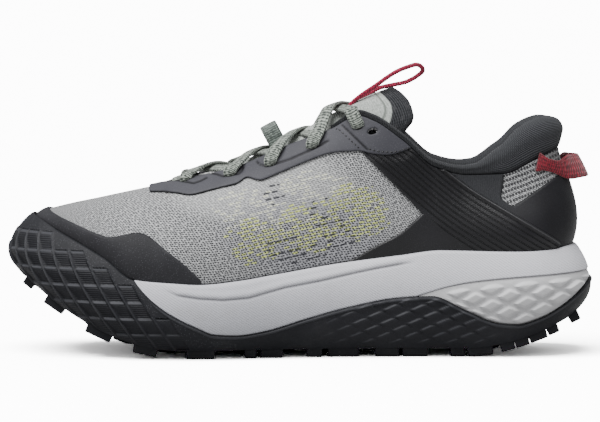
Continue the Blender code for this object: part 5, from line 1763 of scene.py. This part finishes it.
near_rim, far_rim = rim_point(LACE_BAR, -1), rim_point(LACE_BAR, 1)
bar_path = smooth_path([near_rim + (0, -0.001, -0.002), near_rim + (0, 0.003, 0.0002),
                        (near_rim + far_rim) / 2 + UP * 0.0014, far_rim + (0, -0.003, 0.0002),
                        far_rim + (0, 0.001, -0.002)], 40)
ribbon("lace_bar_piece", LACE, bar_path, ALONG_SHOE, LACE_WIDTH, LACE_THICKNESS, "lace_bar", "heather_lace")
for i, arch in enumerate((0.0004, 0.0006, 0.0020, 0.0052), 1):
    low, high = EYELETS[i - 1:i + 1]
    for word, side in (("over", -1), ("under", 1)):
        lace_strand(f"lace_{word}_{i}", (low, side), (high, -side), i == 4, arch - side * 0.0010,
                    f"lace_cross_{i}")

# %% Loop on the tongue
LOOP_CORD = 0.0023
LOOP_DROP = 3.1
LOOP_PLACES = (
    # x and height in the side view, and place across the shoe, in millimetres
    (23.6, 125.5, -2.0), (26.2, 130.6, -2.2), (31.0, 134.9, -3.0), (38.7, 140.2, -4.0), (49.0, 147.2, -4.5),
    (56.7, 150.3, -3.0), (60.3, 150.9, -1.0), (62.6, 149.5, 0.5), (63.1, 147.6, 2.0), (60.3, 144.9, 3.5),
    (54.6, 141.8, 4.0), (47.9, 140.3, 4.0), (41.2, 138.8, 3.5), (36.1, 136.2, 3.0), (31.0, 133.6, 2.0),
    (26.2, 130.0, 2.0), (23.6, 125.5, 2.0),
)
loop_middle = SIDE * ridge_y(0.40)
loop_points = [np.array([x, y, z - LOOP_DROP]) / 1000 + loop_middle for x, z, y in LOOP_PLACES]
loop_path = smooth_path(loop_points, 150)
ribbon("tongue_loop_cord", CORD, loop_path, UP + SIDE * 0.01, LOOP_CORD, LOOP_CORD, "tongue_loop",
       "crimson_webbing", around=18, power=0.8)

# %% Lace keeper
KEEPER_WIDTH = 0.0088
KEEPER_THICKNESS = 0.0012
KEEPER_PLACE = 0.538
KEEPER_SHAPE = ((-0.0048, 0.0001), (-0.0047, 0.0052), (-0.0036, 0.0096), (0.0, 0.0112), (0.0036, 0.0096),
                (0.0047, 0.0052), (0.0048, 0.0001))
top, run, up = (part[0] for part in tongue_frame(KEEPER_PLACE))
keeper_path = smooth_path([top + SIDE * y + up * z for y, z in KEEPER_SHAPE], 60)
ribbon("lace_keeper_webbing", WEBBING, keeper_path, run, KEEPER_WIDTH, KEEPER_THICKNESS, "lace_keeper",
       "sage_webbing")

# %% Heel tab
TAB_WIDTH = 0.0130
TAB_THICKNESS = 0.0016
TAB_STEPS = 100
TAB_BACK = np.array([0.1455, float(ridge_y(0.06)), 0.0962])
# x and height in the side view, and how far the tab stands clear of the surface there
TAB_PLACES = ((0.1206, 0.1030, 0.0003), (0.1246, 0.0990, 0.0006), (0.1308, 0.0970, 0.0014))
HUGGING = np.array([0.92, 0.0, 0.40])
STANDING = np.array([-0.45, 0.0, 0.89])

lateral = []
for x, height, clear in TAB_PLACES:
    point, normal = on_upper(x, height, -1)
    lateral.append(point + normal * (TAB_THICKNESS / 2 + GAP + clear))
lateral.append(TAB_BACK + (-0.0080, -0.0135, -0.0005))
medial = [np.array([p[0], 2 * TAB_BACK[1] - p[1], p[2]]) for p in lateral]
tab_path = smooth_path([*lateral, TAB_BACK, *medial[::-1]], TAB_STEPS)
hug = np.clip((x_of(0.030) - tab_path[:, :1]) / 0.012, 0.0, 1.0)
lean = 0.35 * np.clip((TAB_BACK[1] - tab_path[:, 1:2]) / 0.006, -1, 1)
tab_across = HUGGING * hug + STANDING * (1 - hug) + SIDE * lean * hug
from_end = edge_near(np.linspace(0.0, 1.0, TAB_STEPS))
tab_width = TAB_WIDTH * (0.50 + 0.26 * (1 - ramp(from_end, 0.0, 0.12)) + 0.50 * ramp(from_end, 0.16, 0.36))
ribbon("heel_tab_webbing", RED, tab_path, tab_across, tab_width, TAB_THICKNESS, "heel_tab", "crimson_webbing")


# %% Insole
def insole_points(u, w):
    middle, lift = rail([(1.0, 0.0), (0.0, 0.0), (0.0, 0.0005), (0.02, 0.0037), (0.06, 0.004), (0.3, 0.004),
                         (0.6, 0.004), (1.0, 0.004)], w)
    along = along_of(u)
    inset = wall_inset(along, 1.0) + cover(along) + FOOT_LEAN + UPPER_WALL + 0.0012
    here, there = inset_outline(u, inset), inset_outline(1.0 - u, inset)
    mix = (middle / 2)[:, None]
    flat = here * (1 - mix) + there * mix
    height = footbed_height(place_of(here[:, 0])) * (1 - middle / 2)
    height += footbed_height(place_of(there[:, 0])) * middle / 2
    return np.column_stack((flat, height + GAP + lift))


bm, u, w = grid(280, 7, (PERIMETER, 0.05))
place_points(bm, insole_points(u, w))
close_up(bm)
finish_piece(bm, "insole_sheet", SOCK, ("insole",), "insole_cloth")

# %% [markdown]
# ## Floor, light and camera
# The shoe stands on a pale floor under one broad light overhead, with a weak softbox in front. A long lens
# sees it from its outer side, a little above the floor, as in a product picture.

# %% Floor and backdrop
FLOOR_SEEN, FLOOR_LIGHT = 5.0, 0.45
SKY_SEEN, SKY_LIGHT = 14.0, 0.45


def seen_or_bounced(n, seen, bounced):
    """One value for what the camera sees and another for the light that is thrown back."""
    camera_ray = n.node("LightPath", out="Is Camera Ray")
    return n.node("Mix", {0: camera_ray, 2: bounced, 3: seen}, out=0, data_type="FLOAT")


def pale_floor(n):
    cloud = n.noise(n.place(), 0.30)
    tone = n.scale_add(cloud, 0.02, seen_or_bounced(n, FLOOR_SEEN, FLOOR_LIGHT))
    return n.join(tone, tone, tone), n.scale_add(cloud, 0.05, 0.75), None


bm = bmesh.new()
bmesh.ops.create_grid(bm, x_segments=1, y_segments=1, size=30.0)
_, floor = mesh_object(bm, "studio_floor", make_finish("pale_floor_finish", pale_floor, 0.0))

world = bpy.data.worlds.new("studio")
world.use_nodes = True
sky_nodes = Nodes(world.node_tree)
background = world.node_tree.nodes["Background"]
background.inputs["Color"].default_value = (1.0, 1.0, 1.0, 1.0)
sky_nodes.feed(background.inputs["Strength"], seen_or_bounced(sky_nodes, SKY_SEEN, SKY_LIGHT))
bpy.context.scene.world = world


# %% Lights
def aim(made, place, target):
    made.location = place
    made.rotation_euler = (Vector(target) - Vector(place)).to_track_quat("-Z", "Y").to_euler()


def light(name, kind, place, target, **settings):
    data = bpy.data.lights.new(name, kind)
    for label, value in settings.items():
        setattr(data, label, value)
    aim(add_object(name, data), place, target)


light("overhead_sun", "SUN", (-0.25, -0.30, 1.0), (0, 0, 0), energy=7.0, angle=math.radians(50))
light("front_softbox", "AREA", (-0.5, -1.7, 0.75), (0, 0, 0.06), shape="RECTANGLE", size=1.2, size_y=0.7,
      energy=5)

# %% Camera
CAMERA_DISTANCE = 2.6
PICTURE_WIDTH = 0.3093
SENSOR_WIDTH = 36.0
TARGET = Vector((0.0, 0.0, 0.0722))
camera_data = bpy.data.cameras.new("camera")
camera_data.sensor_width = SENSOR_WIDTH
camera_data.lens = SENSOR_WIDTH * CAMERA_DISTANCE / PICTURE_WIDTH
camera_data.clip_end = 50.0
camera = add_object("camera", camera_data)
aim(camera, TARGET + Vector((0.0, -math.cos(VIEW_TILT), math.sin(VIEW_TILT))) * CAMERA_DISTANCE, TARGET)
bpy.context.scene.camera = camera
